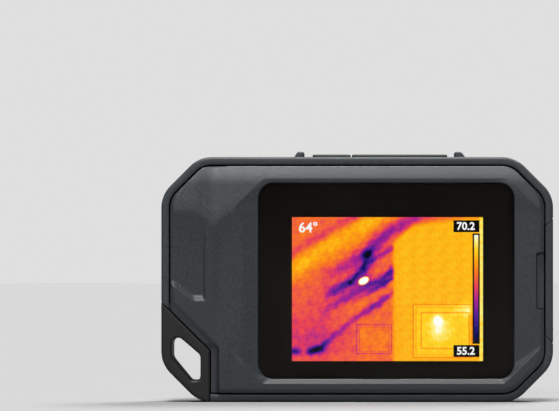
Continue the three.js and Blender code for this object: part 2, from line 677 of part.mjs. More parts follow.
// The raised ring round both lenses, with a D-shaped recess on each side of the upright bridge.
function lensRing() {
  const { x, z } = RING;
  const disc = rod(x, z, RING.recess, RING.recessFloor, FAR, LARGE_CIRCLE);
  const recess = (left, right) => disc.intersect(block(left, right, 0, FAR, 0, GUARD_TOP));
  const opening = (half, y0) => rod(x, z, BRIDGE.radius + 0.2, y0, FAR)
    .intersect(block(x - half, x + half, 0, FAR, 0, GUARD_TOP));
  const crown = [
    [0, RING_TOP - 0.6], [RING.radius, RING_TOP - 0.6], [RING.radius, RING_TOP - 0.5],
    [RING.radius - 0.5, RING_TOP], [0, RING_TOP],
  ];
  const ring = join(
    rod(x, z, RING.spigot, PLATE.back + 0.1, RING.seat + 0.1, LARGE_CIRCLE),
    rod(x, z, RING.radius, RING.seat, RING_TOP - 0.5, LARGE_CIRCLE),
    turned(crown, x, z),
  );
  return cut(
    ring,
    recess(-FAR, x - RING.bridge),
    recess(x + RING.bridge, 0),
    opening(BRIDGE.half + 0.15, BRIDGE.back - FIT),
    opening(BRIDGE.half - 0.7, 0),
  );
}

const stadium = (radius, low, high) => rounded(polygon([
  [RING.x - radius, low - radius], [RING.x + radius, low - radius],
  [RING.x + radius, high + radius], [RING.x - radius, high + radius],
]), radius * 0.999, 6);

const CAMERA_SLOT = { radius: 3.55, low: 58.05, high: 60.8 };

function lensBridgePlate() {
  const { radius, low, high } = CAMERA_SLOT;
  const { half, back, top } = BRIDGE;
  const plate = rod(RING.x, RING.z, BRIDGE.radius, back, top, LARGE_CIRCLE)
    .intersect(block(RING.x - half, RING.x + half, 0, FAR, 0, GUARD_TOP));
  return cut(plate, slab(stadium(radius, low, high), 0, FAR), rod(RING.x, IR_Z, 5.5, 0, FAR));
}

function cameraWindow() {
  const { radius, low, high } = CAMERA_SLOT;
  return cut(
    slab(stadium(radius - 0.15, low, high), 8.7, 11.2),
    slab(stadium(radius - 0.55, low, high), 10.2, FAR),
    rod(RING.x, CAMERA_Z, 2.8, 0, FAR),
  );
}

function domedLens(radius, base, rim, crown) {
  const dome = Array.from({ length: 6 }, (_, index) => {
    const share = 1 - index / 5;
    return [radius * share, rim + (crown - rim) * (1 - share * share)];
  });
  return [[0, base], [radius, base], ...dome];
}

function addCameras() {
  const { x } = RING;
  const bracket = cut(
    block(-46.3, -30.6, 5, 8.4, 35.7, 69.9),
    rod(x, IR_Z, 5.45, 0, FAR),
    rod(x, IR_Z, 6.5, 6.7, FAR),
    block(x - 3.7, x + 3.7, 0, FAR, 54.1, 61.5),
  );
  const barrel = [
    [3.1, 4.3], [5.3, 4.3], [5.3, 11.1], [5, 11.4], [4.4, 11.4],
    [3.8, 10.9], [3.8, 8.5], [3.1, 8.5], [3.1, 4.3],
  ];
  const cameraBarrel = [
    [0, 7.5], [2.6, 7.5], [2.6, 10.3], [2.2, 10.6], [1.5, 10.6], [1.1, 10.2], [0, 10.35],
  ];
  const sealRing = new THREE.TorusGeometry(5.9, 0.4, 8, CIRCLE);
  sealRing.rotateX(Math.PI / 2);
  sealRing.translate(x, 7.3, IR_Z);
  const flexPath = [[3.2, 60.5], [3.2, 55.8], [-1.2, 55.8], [-1.2, 61]];
  add('camera_bracket', MATERIALS.bareMetal, bracket);
  add('ir_lens_barrel', MATERIALS.blackPlastic, turned(barrel, x, IR_Z));
  add('ir_lens', MATERIALS.infraredLens, turned(domedLens(3.65, 8.6, 9.9, 11), x, IR_Z));
  add('ir_lens_o_ring', MATERIALS.silicone, solid(sealRing));
  add('camera_window', MATERIALS.blackPlastic, cameraWindow());
  add('camera_lens', MATERIALS.blackPlastic, turned(cameraBarrel, x, CAMERA_Z));
  add('camera_module', MATERIALS.blackPlastic, block(x - 3.4, x + 3.4, 3.4, 7.4, 54.4, 61.2));
  add('camera_flex', MATERIALS.flex, stripAlongX(flexPath, FLEX, x - 1.7, x + 1.7));
}

// ---------------------------------------------------------------- infrared sensor and its shutter

function shutterHousing() {
  return cut(
    block(-43.8, -27.6, 1.9, 4, 38.6, 52.9),
    block(-43.2, -27, 2.5, 3.4, 39.2, 52.3),
    rod(RING.x, IR_Z, 3.1, 0, FAR),
    rod(SHUTTER.x, SHUTTER.z, 0.9, 0, FAR, SMALL_CIRCLE),
  );
}

// The flag at rest stands clear of the lens; it swings about its pivot to cover the sensor.
function shutterBlade() {
  const angle = THREE.MathUtils.degToRad(SHUTTER.openAngle);
  const tipX = SHUTTER.x + SHUTTER.arm * Math.cos(angle);
  const tipZ = SHUTTER.z + SHUTTER.arm * Math.sin(angle);
  const halfWidth = 1.1;
  const sideX = halfWidth * Math.sin(angle);
  const sideZ = -halfWidth * Math.cos(angle);
  const arm = polygon([
    [SHUTTER.x - sideX, SHUTTER.z - sideZ], [SHUTTER.x + sideX, SHUTTER.z + sideZ],
    [tipX + sideX, tipZ + sideZ], [tipX - sideX, tipZ - sideZ],
  ]);
  const { front, back } = SHUTTER;
  const blade = join(
    slab(arm, front, back),
    rod(SHUTTER.x, SHUTTER.z, 1.3, front, back),
    rod(tipX, tipZ, SHUTTER.paddle, front, back),
  );
  return cut(blade, rod(SHUTTER.x, SHUTTER.z, 0.7, 0, FAR));
}

function addInfraredSensor() {
  const { x, z } = SHUTTER;
  const half = 4.2;
  const motor = join(rod(x, z, 1.7, -1, 1.8), rod(x, z, 0.6, 1.7, 3.9));
  const board = cut(block(-44.5, -29.5, -0.9, -0.1, 38.3, 53.3), rod(x, z, 2, -FAR, FAR));
  const core = block(RING.x - half, RING.x + half, 0, 1.7, IR_Z - half, IR_Z + half);
  add('shutter_housing', MATERIALS.blackPlastic, shutterHousing());
  add('shutter_blade', MATERIALS.bareMetal, shutterBlade());
  add('shutter_motor', MATERIALS.bareMetal, motor);
  add('ir_sensor_core', MATERIALS.bareMetal, core);
  add('sensor_board', MATERIALS.circuitBoard, board);
}

// ---------------------------------------------------------------- torch

function addTorch() {
  const { x, z, radius } = TORCH;
  const bezel = [
    [1.75, 8.5], [radius, 8.5], [radius, 10.4], [radius - 0.3, 10.7], [2, 10.7], [1.75, 10.4], [1.75, 8.5],
  ];
  add('torch_bezel', MATERIALS.whitePlastic, turned(bezel, x, z));
  add('torch_lens', MATERIALS.torchLens, turned(domedLens(1.65, 6.8, 10, 10.4), x, z));
  add('torch_led', MATERIALS.torchLens, block(x - 1.3, x + 1.3, 5.75, 6.6, z - 1.3, z + 1.3));
  add('torch_board', MATERIALS.circuitBoard, block(x - 3.5, x + 3.5, 4.9, 5.7, z - 3.5, z + 3.5));
}

function addLensSide() {
  add('lens_plate', MATERIALS.taupeMetal, lensPlate());
  add('lens_ring', MATERIALS.ringPlastic, lensRing());
  add('lens_bridge_plate', MATERIALS.taupeMetal, lensBridgePlate());
}

addCase();
addChargingSocket();
addKeys();
addDisplay();
addElectronics();
addLensSide();
addCameras();
addInfraredSensor();
addTorch();

export default camera;
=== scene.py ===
"""Looks of the thermal imaging camera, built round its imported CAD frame.

Shapes are made in millimetres in the CAD's frame (+X right seen from the screen side, -Y out of the
screen, +Y out of the lens side, +Z up) and scaled to metres as each piece is finished.
"""

import math

import bmesh
import bpy
import mathutils
import numpy as np
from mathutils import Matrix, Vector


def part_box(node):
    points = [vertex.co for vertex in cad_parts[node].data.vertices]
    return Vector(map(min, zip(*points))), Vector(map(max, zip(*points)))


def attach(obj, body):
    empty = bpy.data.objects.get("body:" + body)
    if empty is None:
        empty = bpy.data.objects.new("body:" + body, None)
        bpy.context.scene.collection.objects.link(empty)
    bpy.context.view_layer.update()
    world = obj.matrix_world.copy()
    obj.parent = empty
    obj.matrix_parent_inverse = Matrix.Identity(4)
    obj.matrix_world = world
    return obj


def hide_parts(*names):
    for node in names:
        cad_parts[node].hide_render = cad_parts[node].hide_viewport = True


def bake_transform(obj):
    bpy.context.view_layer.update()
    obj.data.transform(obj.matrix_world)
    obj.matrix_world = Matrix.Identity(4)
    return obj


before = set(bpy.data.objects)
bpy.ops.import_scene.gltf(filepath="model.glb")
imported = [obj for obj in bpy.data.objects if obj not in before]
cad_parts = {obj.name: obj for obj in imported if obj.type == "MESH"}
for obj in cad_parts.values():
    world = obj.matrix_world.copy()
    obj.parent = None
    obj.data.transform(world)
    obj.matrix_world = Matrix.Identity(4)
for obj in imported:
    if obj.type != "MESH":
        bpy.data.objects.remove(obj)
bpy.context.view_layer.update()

MM = 0.001


def node_box(node):
    """Lowest and highest corner of a CAD node, in millimetres."""
    low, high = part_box(node)
    return np.array(low) / MM, np.array(high) / MM


# ---- sizes from the frame

grip_low, grip_high = node_box("grip_overmould")
shell_low = node_box("screen_side_shell")[0]
glass_low, glass_high = node_box("cover_glass")
lcd_low, lcd_high = node_box("lcd_panel")
plate_low, plate_high = node_box("lens_plate")
ring_low, ring_high = node_box("lens_ring")
bridge_low, bridge_high = node_box("lens_bridge_plate")
loop_high = node_box("lanyard_loop")[1]
power_low, power_high = node_box("power_button")
save_low, save_high = node_box("save_button")

HALF_WIDTH = grip_high[0]
GUARD_TOP = grip_high[2]
RIM_FRONT = grip_low[1]
PLATEAU = grip_high[1]
FACE = -shell_low[1]             # how far the screen-side face stands out
GLASS_FRONT = glass_low[1]
GLASS_BACK = glass_high[1]
PLATE_TOP = plate_high[1]
RING_X = (ring_low[0] + ring_high[0]) / 2
RING_Z = (ring_low[2] + ring_high[2]) / 2

BODY_TOP = GUARD_TOP - 1.8       # top edge, below the finger guards
CORNER_LEG = 12.1                # legs of the 45 degree corners
CORNER_ROUND = 10.0
EDGE_ROUND = 0.9                 # rounding of the screen-side edges
SKIN = 1.3                       # thickness of the rubber skin
RIM_INSET = 2.45                 # how far the rubber rim reaches in on the screen side
SHELL_INSET = 2.95               # where the screen-side shell starts inside it
EDGE_LEVEL = 8.4                 # lens-side level along the body's edge
EDGE_FLARE = 1.2                 # width of the band that slopes down to the side
SIDE_END = EDGE_LEVEL - EDGE_FLARE - 0.6         # level at which the straight side ends
GAP = 0.3                        # clearance between pieces
LOOP_EDGE = loop_high[0]         # right side of the lanyard corner
LOOP_KNEE = 16.4                 # where the lanyard corner's straight side turns
KEY_HALF = 4.0                   # half of the keys' depth
KEY_SLOT_FLOOR = 72.6
FAR = 60.0                       # beyond every surface


# ---- outlines, in (x, z)

def rounded(corners, radii, arc=6, edges=None):
    """A closed outline with rounded corners. edges gives the number of parts of each straight stretch."""
    corners = [np.array(c, float) for c in corners]
    count = len(corners)
    if np.isscalar(radii):
        radii = [radii] * count
    arcs = []
    for i, corner in enumerate(corners):
        back = corners[i - 1] - corner
        ahead = corners[(i + 1) % count] - corner
        back /= np.linalg.norm(back)
        ahead /= np.linalg.norm(ahead)
        half = math.acos(np.clip(back @ ahead, -1, 1)) / 2
        radius = max(radii[i], 1e-3)
        middle = back + ahead
        centre = corner + middle / np.linalg.norm(middle) * radius / math.sin(half)
        start = corner + back * radius / math.tan(half) - centre
        end = corner + ahead * radius / math.tan(half) - centre
        first = math.atan2(start[1], start[0])
        turn = math.atan2(end[1], end[0]) - first
        turn = (turn + math.pi) % (2 * math.pi) - math.pi
        angles = first + turn * np.linspace(0, 1, arc + 1 if radii[i] > 0 else 1)
        arcs.append(arc_points(*centre, radius, angles))
    if edges is None:
        return np.concatenate(arcs)
    points = []
    for i in range(count):
        straight = np.linspace(arcs[i][-1], arcs[(i + 1) % count][0], edges[i] + 1)
        points += [*arcs[i], *straight[1:-1]]
    return np.array(points)


def arc_points(x, z, radius, angles):
    return np.stack([x + radius * np.cos(angles), z + radius * np.sin(angles)], 1)


def circle(x, z, radius, count=64):
    return arc_points(x, z, radius, 2 * math.pi * (np.arange(count) + 0.5) / count)


def box_corners(left, right, bottom, top):
    return [(left, bottom), (right, bottom), (right, top), (left, top)]


def grown_box(low, high, grow=0.0):
    """The corners of a frame node's box, seen along Y, moved outward by grow."""
    return box_corners(low[0] - grow, high[0] + grow, low[2] - grow, high[2] + grow)


def cut_rectangle(left, bottom, right, top, leg):
    """A rectangle with 45 degree corners, anticlockwise from the bottom edge's left end."""
    return [
        (left + leg, bottom), (right - leg, bottom), (right, bottom + leg), (right, top - leg),
        (right - leg, top), (left + leg, top), (left, top - leg), (left, bottom + leg),
    ]


def leg_at(inset):
    """The leg of the 45 degree corners after the outline moves inward."""
    return CORNER_LEG - inset * (2 - math.sqrt(2))


# Parts of the outline's straight stretches, anticlockwise from the bottom one. They are many, because
# the ridges and grooves of the lens side end on them.
BODY_EDGES = [150, 14, 90, 14, 150, 14, 90, 14]
BODY_ARC = 12


def body_outline(inset):
    """The body's outline moved inward, always with the same number of points."""
    side = HALF_WIDTH - inset
    corners = cut_rectangle(-side, inset, side, BODY_TOP - inset, leg_at(inset))
    return rounded(corners, max(CORNER_ROUND - inset, 0.8), BODY_ARC, BODY_EDGES)


def loop_region(grow):
    """The lanyard corner, out to far away; grow moves its boundary into the body."""
    x = LOOP_EDGE + grow
    z = LOOP_KNEE + grow * (math.sqrt(2) - 1)
    return np.array([(x - FAR, z + FAR), (x - FAR, -FAR), (x, -FAR), (x, z)])


QUARTER_TURN = math.pi / 2


def quarter_round(radius, angles=np.linspace(0, QUARTER_TURN, 5)):
    """Steps round an edge from its side to its face: how far inward, and how far below the face."""
    return [(radius * (1 - math.cos(angle)), radius * (1 - math.sin(angle))) for angle in angles]


# ---- soft minima and maxima

def smin(a, b, r):
    """The lower of two heights, with the ridge between them rounded over about r."""
    h = np.clip(0.5 + 0.5 * (b - a) / r, 0, 1)
    return b * (1 - h) + a * h - r * h * (1 - h)


def smax(a, b, r):
    return -smin(-a, -b, r)


# ---- mesh helpers

def new_object(name, data):
    made = bpy.data.objects.new(name, data)
    bpy.context.scene.collection.objects.link(made)
    return made


def mesh_object(name, vertices, faces):
    mesh = bpy.data.meshes.new(name)
    mesh.from_pydata([tuple(v) for v in vertices], [], [tuple(f) for f in faces])
    mesh.update()
    piece = new_object(name, mesh)
    turn_outward(piece)
    return piece


def turn_outward(piece):
    """Merges double points and turns all the faces outward."""
    work = bmesh.new()
    work.from_mesh(piece.data)
    bmesh.ops.remove_doubles(work, verts=work.verts, dist=1e-5)
    bmesh.ops.recalc_face_normals(work, faces=work.faces)
    work.to_mesh(piece.data)
    work.free()


def loft(name, rings, closed=False, skip=None):
    """A closed solid through rings of equal length. A ring is an outline and its level, or 3-D points.

    closed joins the last ring to the first. skip is a ring that isn't joined to the one after it.
    """
    placed = [ring if isinstance(ring, np.ndarray) else at_level(*ring) for ring in rings]
    count = len(placed[0])
    vertices = np.concatenate(placed)
    faces = []
    pairs = len(placed) if closed else len(placed) - 1
    for i in range(pairs):
        if i == skip:
            continue
        low = i * count
        high = (i + 1) % len(placed) * count
        for k in range(count):
            after = (k + 1) % count
            faces.append((low + k, low + after, high + after, high + k))
    if not closed:
        faces.append(range(count - 1, -1, -1))
        faces.append(range(len(vertices) - count, len(vertices)))
    return mesh_object(name, vertices, faces)


def at_level(outline, y):
    """An outline as 3-D points, with one level or a level for each point."""
    levels = np.broadcast_to(y, len(outline))
    return np.stack([outline[:, 0], levels, outline[:, 1]], 1)


def prism(name, outline, y0, y1):
    return loft(name, [(outline, y0), (outline, y1)])


def hole(outline, y0=-FAR, y1=FAR):
    """A cutter in the shape of an outline, right through the object unless y0 or y1 is given."""
    return prism("hole", outline, y0, y1)


def block(name, x0, x1, y0, y1, z0, z1):
    return prism(name, np.array(box_corners(x0, x1, z0, z1)), y0, y1)


def bake_modifiers(piece):
    """Replaces the piece's mesh by the one that its modifiers make."""
    depsgraph = bpy.context.evaluated_depsgraph_get()
    mesh = bpy.data.meshes.new_from_object(piece.evaluated_get(depsgraph))
    piece.modifiers.clear()
    old = piece.data
    piece.data = mesh
    bpy.data.meshes.remove(old)


def combine(piece, operation, *tools):
    """Cuts tools from the piece, or joins them to it, and removes the tools."""
    for tool in tools:
        step = piece.modifiers.new("boolean", "BOOLEAN")
        step.operation = operation
        step.solver = "MANIFOLD"
        step.object = tool
        bake_modifiers(piece)
        bpy.data.objects.remove(tool)
    return piece


def cut(piece, *tools):
    return combine(piece, "DIFFERENCE", *tools)


def join(piece, *tools):
    return combine(piece, "UNION", *tools)


def bevel(piece, width, segments=3, angle=30):
    step = piece.modifiers.new("bevel", "BEVEL")
    step.width = width
    step.segments = segments
    step.limit_method = "ANGLE"
    step.angle_limit = math.radians(angle)
    step.miter_outer = "MITER_ARC"
    step.use_clamp_overlap = True
    bake_modifiers(piece)
    return piece


def finish(piece, material, body="root", nodes=(), sharp=32):
    """Scales a piece to metres, smooths it, gives it its material and ties it to the frame."""
    for vertex in piece.data.vertices:
        vertex.co *= MM
    piece.data.polygons.foreach_set("use_smooth", [True] * len(piece.data.polygons))
    piece.data.set_sharp_from_angle(angle=math.radians(sharp))
    piece.data.materials.clear()
    piece.data.materials.append(material)
    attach(piece, body)
    if nodes:
        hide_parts(*nodes)
    return piece


def turned(name, profile, x, z, count=72):
    """A solid of revolution on an axis parallel to Y, from a closed profile of (radius, y) pairs."""
    return loft(name, [(circle(x, z, radius, count), y) for radius, y in profile], closed=True)


def knob(name, profile, x, z, count=72):
    """The same for a profile that starts and ends on the axis."""
    return loft(name, [(circle(x, z, max(radius, 0.01), count), y) for radius, y in profile])


def inset_corners(corners, inset):
    """The corners of a polygon, given anticlockwise, after each side moves inward by inset."""
    corners = [np.array(c, float) for c in corners]
    moved = []
    for i, corner in enumerate(corners):
        before = corner - corners[i - 1]
        after = corners[(i + 1) % len(corners)] - corner
        before /= np.linalg.norm(before)
        after /= np.linalg.norm(after)
        in_before = np.array([-before[1], before[0]])
        in_after = np.array([-after[1], after[0]])
        shift = (in_before + in_after) * inset / (1 + in_before @ in_after)
        moved.append(corner + shift)
    return moved


# ---- materials

def shown(*tones):
    """A linear colour from tones of 0 to 255 as they look on a screen."""
    shares = [max(tone, 0) / 255 for tone in tones]
    return [share / 12.92 if share < 0.04 else ((share + 0.055) / 1.055) ** 2.4 for share in shares]


def grey(value, warmth=0.0):
    """A linear colour from a tone of 0 to 255; warmth tilts it from blue to red."""
    return shown(value + warmth, value, value - warmth)


def add_node(tree, kind, inputs=None, **settings):
    node = tree.nodes.new("ShaderNode" + kind)
    for key, value in settings.items():
        setattr(node, key, value)
    for key, value in (inputs or {}).items():
        if isinstance(value, bpy.types.NodeSocket):
            tree.links.new(value, node.inputs[key])
        else:
            node.inputs[key].default_value = value
    return node


def start_material(name):
    """A new material, its node tree, and the socket that gives the place on the object."""
    material = bpy.data.materials.new(name)
    material.use_nodes = True
    tree = material.node_tree
    tree.nodes.clear()
    return material, tree, add_node(tree, "TexCoord").outputs["Object"]


def end_material(material, tree, inputs):
    shader = add_node(tree, "BsdfPrincipled", inputs)
    add_node(tree, "OutputMaterial", {"Surface": shader.outputs["BSDF"]})
    return material


def noise(tree, place, size, detail, stretch=None):
    """Noise whose features are about size millimetres."""
    if stretch:
        place = add_node(tree, "Mapping", {"Vector": place, "Scale": stretch}).outputs["Vector"]
    inputs = {"Vector": place, "Scale": 1 / (size * MM), "Detail": detail, "Roughness": 0.6}
    return add_node(tree, "TexNoise", inputs).outputs["Fac"]


def ramp(tree, value, low, high, to_low=0.0, to_high=1.0):
    inputs = {"Value": value, "From Min": low, "From Max": high, "To Min": to_low, "To Max": to_high}
    return add_node(tree, "MapRange", inputs).outputs["Result"]


def vary(tree, noise_value, low=0.0, high=1.0):
    """A noise's middle range spread from low to high."""
    return ramp(tree, noise_value, 0.3, 0.7, low, high)


def mix(tree, amount, a, b):
    a, b = (colour if isinstance(colour, bpy.types.NodeSocket) else (*colour, 1) for colour in (a, b))
    return add_node(tree, "Mix", {0: amount, 6: a, 7: b}, data_type="RGBA").outputs[2]


def scaled(tree, colour, factor):
    return add_node(tree, "VectorMath", {0: colour, "Scale": factor}, operation="SCALE").outputs["Vector"]


def bumped(tree, height, strength, depth, **inputs):
    """A normal disturbed by a height of about depth millimetres."""
    inputs.update(Height=height, Strength=strength, Distance=depth * MM)
    return add_node(tree, "Bump", inputs).outputs["Normal"]


def surface(name, dark, light, roughness, grain=0.35, depth=0.02, cloud=14.0, spread=0.08, metallic=0.0,
            edge=0.2, scuff_and_sheen=0.25, scuff_and_sheen_tone=None, stretch=None, coat=0.0, specular=0.25, fleck=0.2):
    """A grained finish: two tones in soft clouds, fine grain in the bump and roughness, and lighter edges
    that are partly wear and partly a painted highlight.

    grain, depth, cloud and edge are sizes in millimetres. The edge amount says how much of the lighter edge
    tone, partly wear and partly a painted highlight, shows on the edges, and fleck how much the grain shades
    the tone.
    """
    material, tree, place = start_material(name)
    clouds = noise(tree, place, cloud, 4)
    grains = noise(tree, place, grain, 2, stretch)
    tone = mix(tree, vary(tree, clouds), dark, light)
    shaded = scaled(tree, tone, ramp(tree, grains, 0.35, 0.65, 1 - fleck, 1 + fleck))
    soft = add_node(tree, "Bevel", {"Radius": edge * MM}, samples=4).outputs["Normal"]
    facing = add_node(tree, "NewGeometry").outputs["Normal"]
    turn = add_node(tree, "VectorMath", {0: soft, 1: facing}, operation="DOT_PRODUCT")
    # Painted highlight and wear: where the bevelled normal turns away from the face's, the edge takes a
    # lighter tone, about twice the light tone unless one is given.
    scuff_and_sheen_mask = ramp(tree, turn.outputs["Value"], 0.995, 0.8, 0, scuff_and_sheen)
    scuff_and_sheen_tone = scuff_and_sheen_tone or [min(1, share * 2.2 + 0.02) for share in light]
    return end_material(material, tree, {
        "Base Color": mix(tree, scuff_and_sheen_mask, shaded, scuff_and_sheen_tone),
        "Roughness": vary(tree, grains, roughness - spread, roughness + spread),
        "Metallic": metallic, "Coat Weight": coat, "Specular IOR Level": specular,
        "Normal": bumped(tree, grains, 0.6, depth, Normal=soft),
    })


def clear_glass(name, tint):
    """Clear glass with a faint smear that varies its gloss."""
    material, tree, place = start_material(name)
    smear = noise(tree, place, 14, 5)
    return end_material(material, tree, {
        "Base Color": mix(tree, smear, tint, [min(1, share * 1.03) for share in tint]),
        "Roughness": vary(tree, smear, 0.02, 0.06), "Transmission Weight": 1.0, "IOR": 1.12,
        "Normal": bumped(tree, noise(tree, place, 5, 2), 0.05, 0.01),
    })


def coated_lens(name, centre, rim, x, z, radius):
    """A dark coated lens whose tint shifts from its middle to its rim."""
    material, tree, place = start_material(name)
    flat = add_node(tree, "Mapping", {"Vector": place, "Scale": (1, 0, 1)}, vector_type="POINT")
    inputs = {0: flat.outputs["Vector"], 1: (x * MM, 0, z * MM)}
    away = add_node(tree, "VectorMath", inputs, operation="DISTANCE").outputs["Value"]
    dust = noise(tree, place, 0.8, 4)
    return end_material(material, tree, {
        "Base Color": mix(tree, ramp(tree, away, 0, radius * MM), centre, rim),
        "Roughness": vary(tree, dust, 0.04, 0.1), "Metallic": 0.35, "Coat Weight": 0.8,
        "Normal": bumped(tree, dust, 0.1, 0.005),
    })


PALETTE = [
    (0.0, (6, 6, 22)), (0.12, (24, 14, 110)), (0.26, (84, 28, 150)), (0.4, (170, 30, 140)),
    (0.52, (232, 62, 84)), (0.64, (248, 112, 34)), (0.76, (255, 164, 8)), (0.87, (255, 212, 30)),
    (0.95, (255, 244, 140)), (1.0, (255, 255, 250)),
]


def lit(name, glow_of):
    """A lit screen under a faint pixel grain. glow_of makes its colour from the tree and the grain."""
    material, tree, place = start_material(name)
    pixels = noise(tree, place, 0.25, 1)
    return end_material(material, tree, {
        "Base Color": (0, 0, 0, 1), "Roughness": vary(tree, pixels, 0.25, 0.35),
        "Specular IOR Level": 0.05, "Emission Color": glow_of(tree, pixels), "Emission Strength": 1.0,
        "Normal": bumped(tree, pixels, 0.1, 0.01),
    })


def heat_glow(tree, pixels):
    """The mesh's warmth attribute, taken through the heat palette."""
    palette = add_node(tree, "ValToRGB")
    stops = palette.color_ramp.elements
    stops[0].color = (*shown(*PALETTE[0][1]), 1)
    stops[1].color = (*shown(*PALETTE[-1][1]), 1)
    for position, tones in PALETTE[1:-1]:
        stops.new(position).color = (*shown(*tones), 1)
    heat = add_node(tree, "Attribute", attribute_name="warmth").outputs["Fac"]
    tree.links.new(heat, palette.inputs["Fac"])
    return scaled(tree, palette.outputs["Color"], vary(tree, pixels, 0.96, 1.04))


def readout(name, tone):
    """A lit readout of one grey, very slightly uneven."""
    return lit(name, lambda tree, pixels: mix(tree, pixels, [tone] * 3, [tone * 0.92] * 3))


rubber = surface("rubber", grey(38, -4), grey(42, -4), 0.56, specular=0.35, grain=0.6, depth=0.04,
                 scuff_and_sheen=0.3, fleck=0.25)
slate_plastic = surface("slate_plastic", grey(28, -4), grey(32, -4), 0.38, specular=0.5, grain=0.7,
                        depth=0.03, spread=0.04, scuff_and_sheen=0.35, fleck=0.3)
hard_plastic = surface("hard_plastic", grey(30), grey(38), 0.55)
black_plastic = surface("black_plastic", grey(17, 1), grey(22, 1), 0.45, grain=0.25, scuff_and_sheen=0.3)
key_plastic = surface("key_plastic", grey(17), grey(20), 0.5, grain=0.25, scuff_and_sheen=0.25)
loop_plastic = surface("loop_plastic", grey(12, 1), grey(15, 1), 0.55, specular=0.3, grain=0.3,
                       scuff_and_sheen=0.35)
# The ring's pale edge tone is mostly a painted highlight along its bevels, with a little wear.
ring_plastic = surface("ring_plastic", grey(24, -2), grey(29, -3), 0.32, grain=0.3, depth=0.012,
                       edge=0.3, scuff_and_sheen=0.75, scuff_and_sheen_tone=grey(150, -6))
white_plastic = surface("white_plastic", grey(222), grey(236), 0.4, grain=0.4, scuff_and_sheen=0.1)
# The metals' near-white edge tones are painted highlights on their bevelled rims, with some wear.
taupe_metal = surface("taupe_metal", grey(116, 6), grey(126, 7), 0.42, grain=0.22, depth=0.012,
                      metallic=0.85, scuff_and_sheen=0.6, scuff_and_sheen_tone=grey(240, 6), fleck=0.12)
bridge_metal = surface("bridge_metal", grey(150, 4), grey(162, 5), 0.45, grain=0.16, depth=0.016,
                       metallic=0.8, scuff_and_sheen=0.5, scuff_and_sheen_tone=grey(230, 4), fleck=0.12)
bare_metal = surface("bare_metal", grey(165), grey(185), 0.32, grain=0.3, depth=0.01, metallic=0.95,
                     stretch=(1, 1, 8))
circuit_board = surface("circuit_board", (0.01, 0.09, 0.03), (0.02, 0.13, 0.05), 0.45, grain=0.6, scuff_and_sheen=0.1)
flex_film = surface("flex_film", (0.35, 0.11, 0.01), (0.45, 0.15, 0.02), 0.4, grain=0.5, scuff_and_sheen=0.1)
silicone = surface("silicone", grey(44), grey(52), 0.6, grain=0.4, scuff_and_sheen=0.1)
battery_wrap = surface("battery_wrap", grey(140, -3), grey(160, -3), 0.4, grain=0.5, metallic=0.3, scuff_and_sheen=0.1)
print_black = surface("print_black", grey(16, 2), grey(17, 2), 0.5, grain=0.5, depth=0.001, spread=0.02,
                      scuff_and_sheen=0.0, specular=0.0, fleck=0.05)
cover_glass = clear_glass("cover_glass", (0.97, 0.97, 0.97))
torch_glass = surface("torch_glass", grey(205, 4), (0.75, 0.78, 0.45), 0.18, grain=0.4, depth=0.03,
                      coat=0.6, scuff_and_sheen=0.1)
screen_picture = lit("screen_picture", heat_glow)
readout_white = readout("readout_white", 0.95)
readout_dark = readout("readout_dark", 0.002)


# ---- lens side surface

SCOOP_FLOOR = EDGE_LEVEL + 0.3
SCOOP_TOP_WALL = 68.1            # where the scoops in the top and bottom edges end
SCOOP_BOTTOM_WALL = 9.0

# Widths of the slopes at the right, left, top and bottom and at the upper and lower corner.
HUMP_RUNS = (16.7, 56.1, 14.8, 11.2, 14.2, 13.6)
FRAME_RUNS = (66.1, 1.4, 1.6, 18.4, 1.57, 19.5)
FRAME_TOP = PLATE_TOP - 0.15


def slopes_to_edge(x, z, high, runs, side, soft):
    """Slopes from high down to the body's edge, with corner slopes at the right (side 1) or left (-1)."""
    low = EDGE_LEVEL - 0.1
    corner = HALF_WIDTH + BODY_TOP - leg_at(EDGE_FLARE) - 2 * EDGE_FLARE - side * x
    distances = [
        HALF_WIDTH - EDGE_FLARE - x, x + HALF_WIDTH - EDGE_FLARE, BODY_TOP - EDGE_FLARE - z, z - EDGE_FLARE,
        (corner - z) / math.sqrt(2), (corner - (BODY_TOP - z)) / math.sqrt(2),
    ]
    levels = [low + distance / run * (high - low) for distance, run in zip(distances, runs)]
    right, left, top, bottom, upper, lower = levels
    slopes = smin(smin(right, left, soft), smin(top, bottom, soft), soft)
    return smin(slopes, smin(upper, lower, soft), soft)


def hump_level(x, z):
    """The hump over the battery: a plateau with slopes down to the edge."""
    return smin(slopes_to_edge(x, z, PLATEAU, HUMP_RUNS, 1, 0.3), PLATEAU, 0.35)


def frame_level(x, z):
    """The rise round the lens plate."""
    return smin(slopes_to_edge(x, z, FRAME_TOP, FRAME_RUNS, -1, 0.2), FRAME_TOP, 0.2)


def scoop_level(x, inward, wall):
    """The scoop in a long edge. inward is how far a point lies from that edge, wall where it ends."""
    right = (x - 34.7) - (wall - inward) * 0.9
    left = (1.7 - x) - (wall - inward) * 1.13
    outside = smax(smax(right * 0.74, left * 0.66, 0.5), inward - wall, 0.5)
    return SCOOP_FLOOR + 1.6 * smax(outside, 0, 0.25)


def lens_side_level(x, z, inset):
    """The rubber's level on the lens side; inset is how far a point lies from the body's edge."""
    level = smax(hump_level(x, z), frame_level(x, z), 0.3)
    level = smin(level, scoop_level(x, BODY_TOP - z, BODY_TOP - SCOOP_TOP_WALL), 0.25)
    level = smin(level, scoop_level(x, z, SCOOP_BOTTOM_WALL), 0.25)
    return smin(level, EDGE_LEVEL + 0.1 + inset - EDGE_FLARE, 0.5)


def on_lens_side(outline, inset, drop=0.0):
    """The outline laid on the lens side, or drop below it."""
    return at_level(outline, lens_side_level(outline[:, 0], outline[:, 1], inset) - drop)


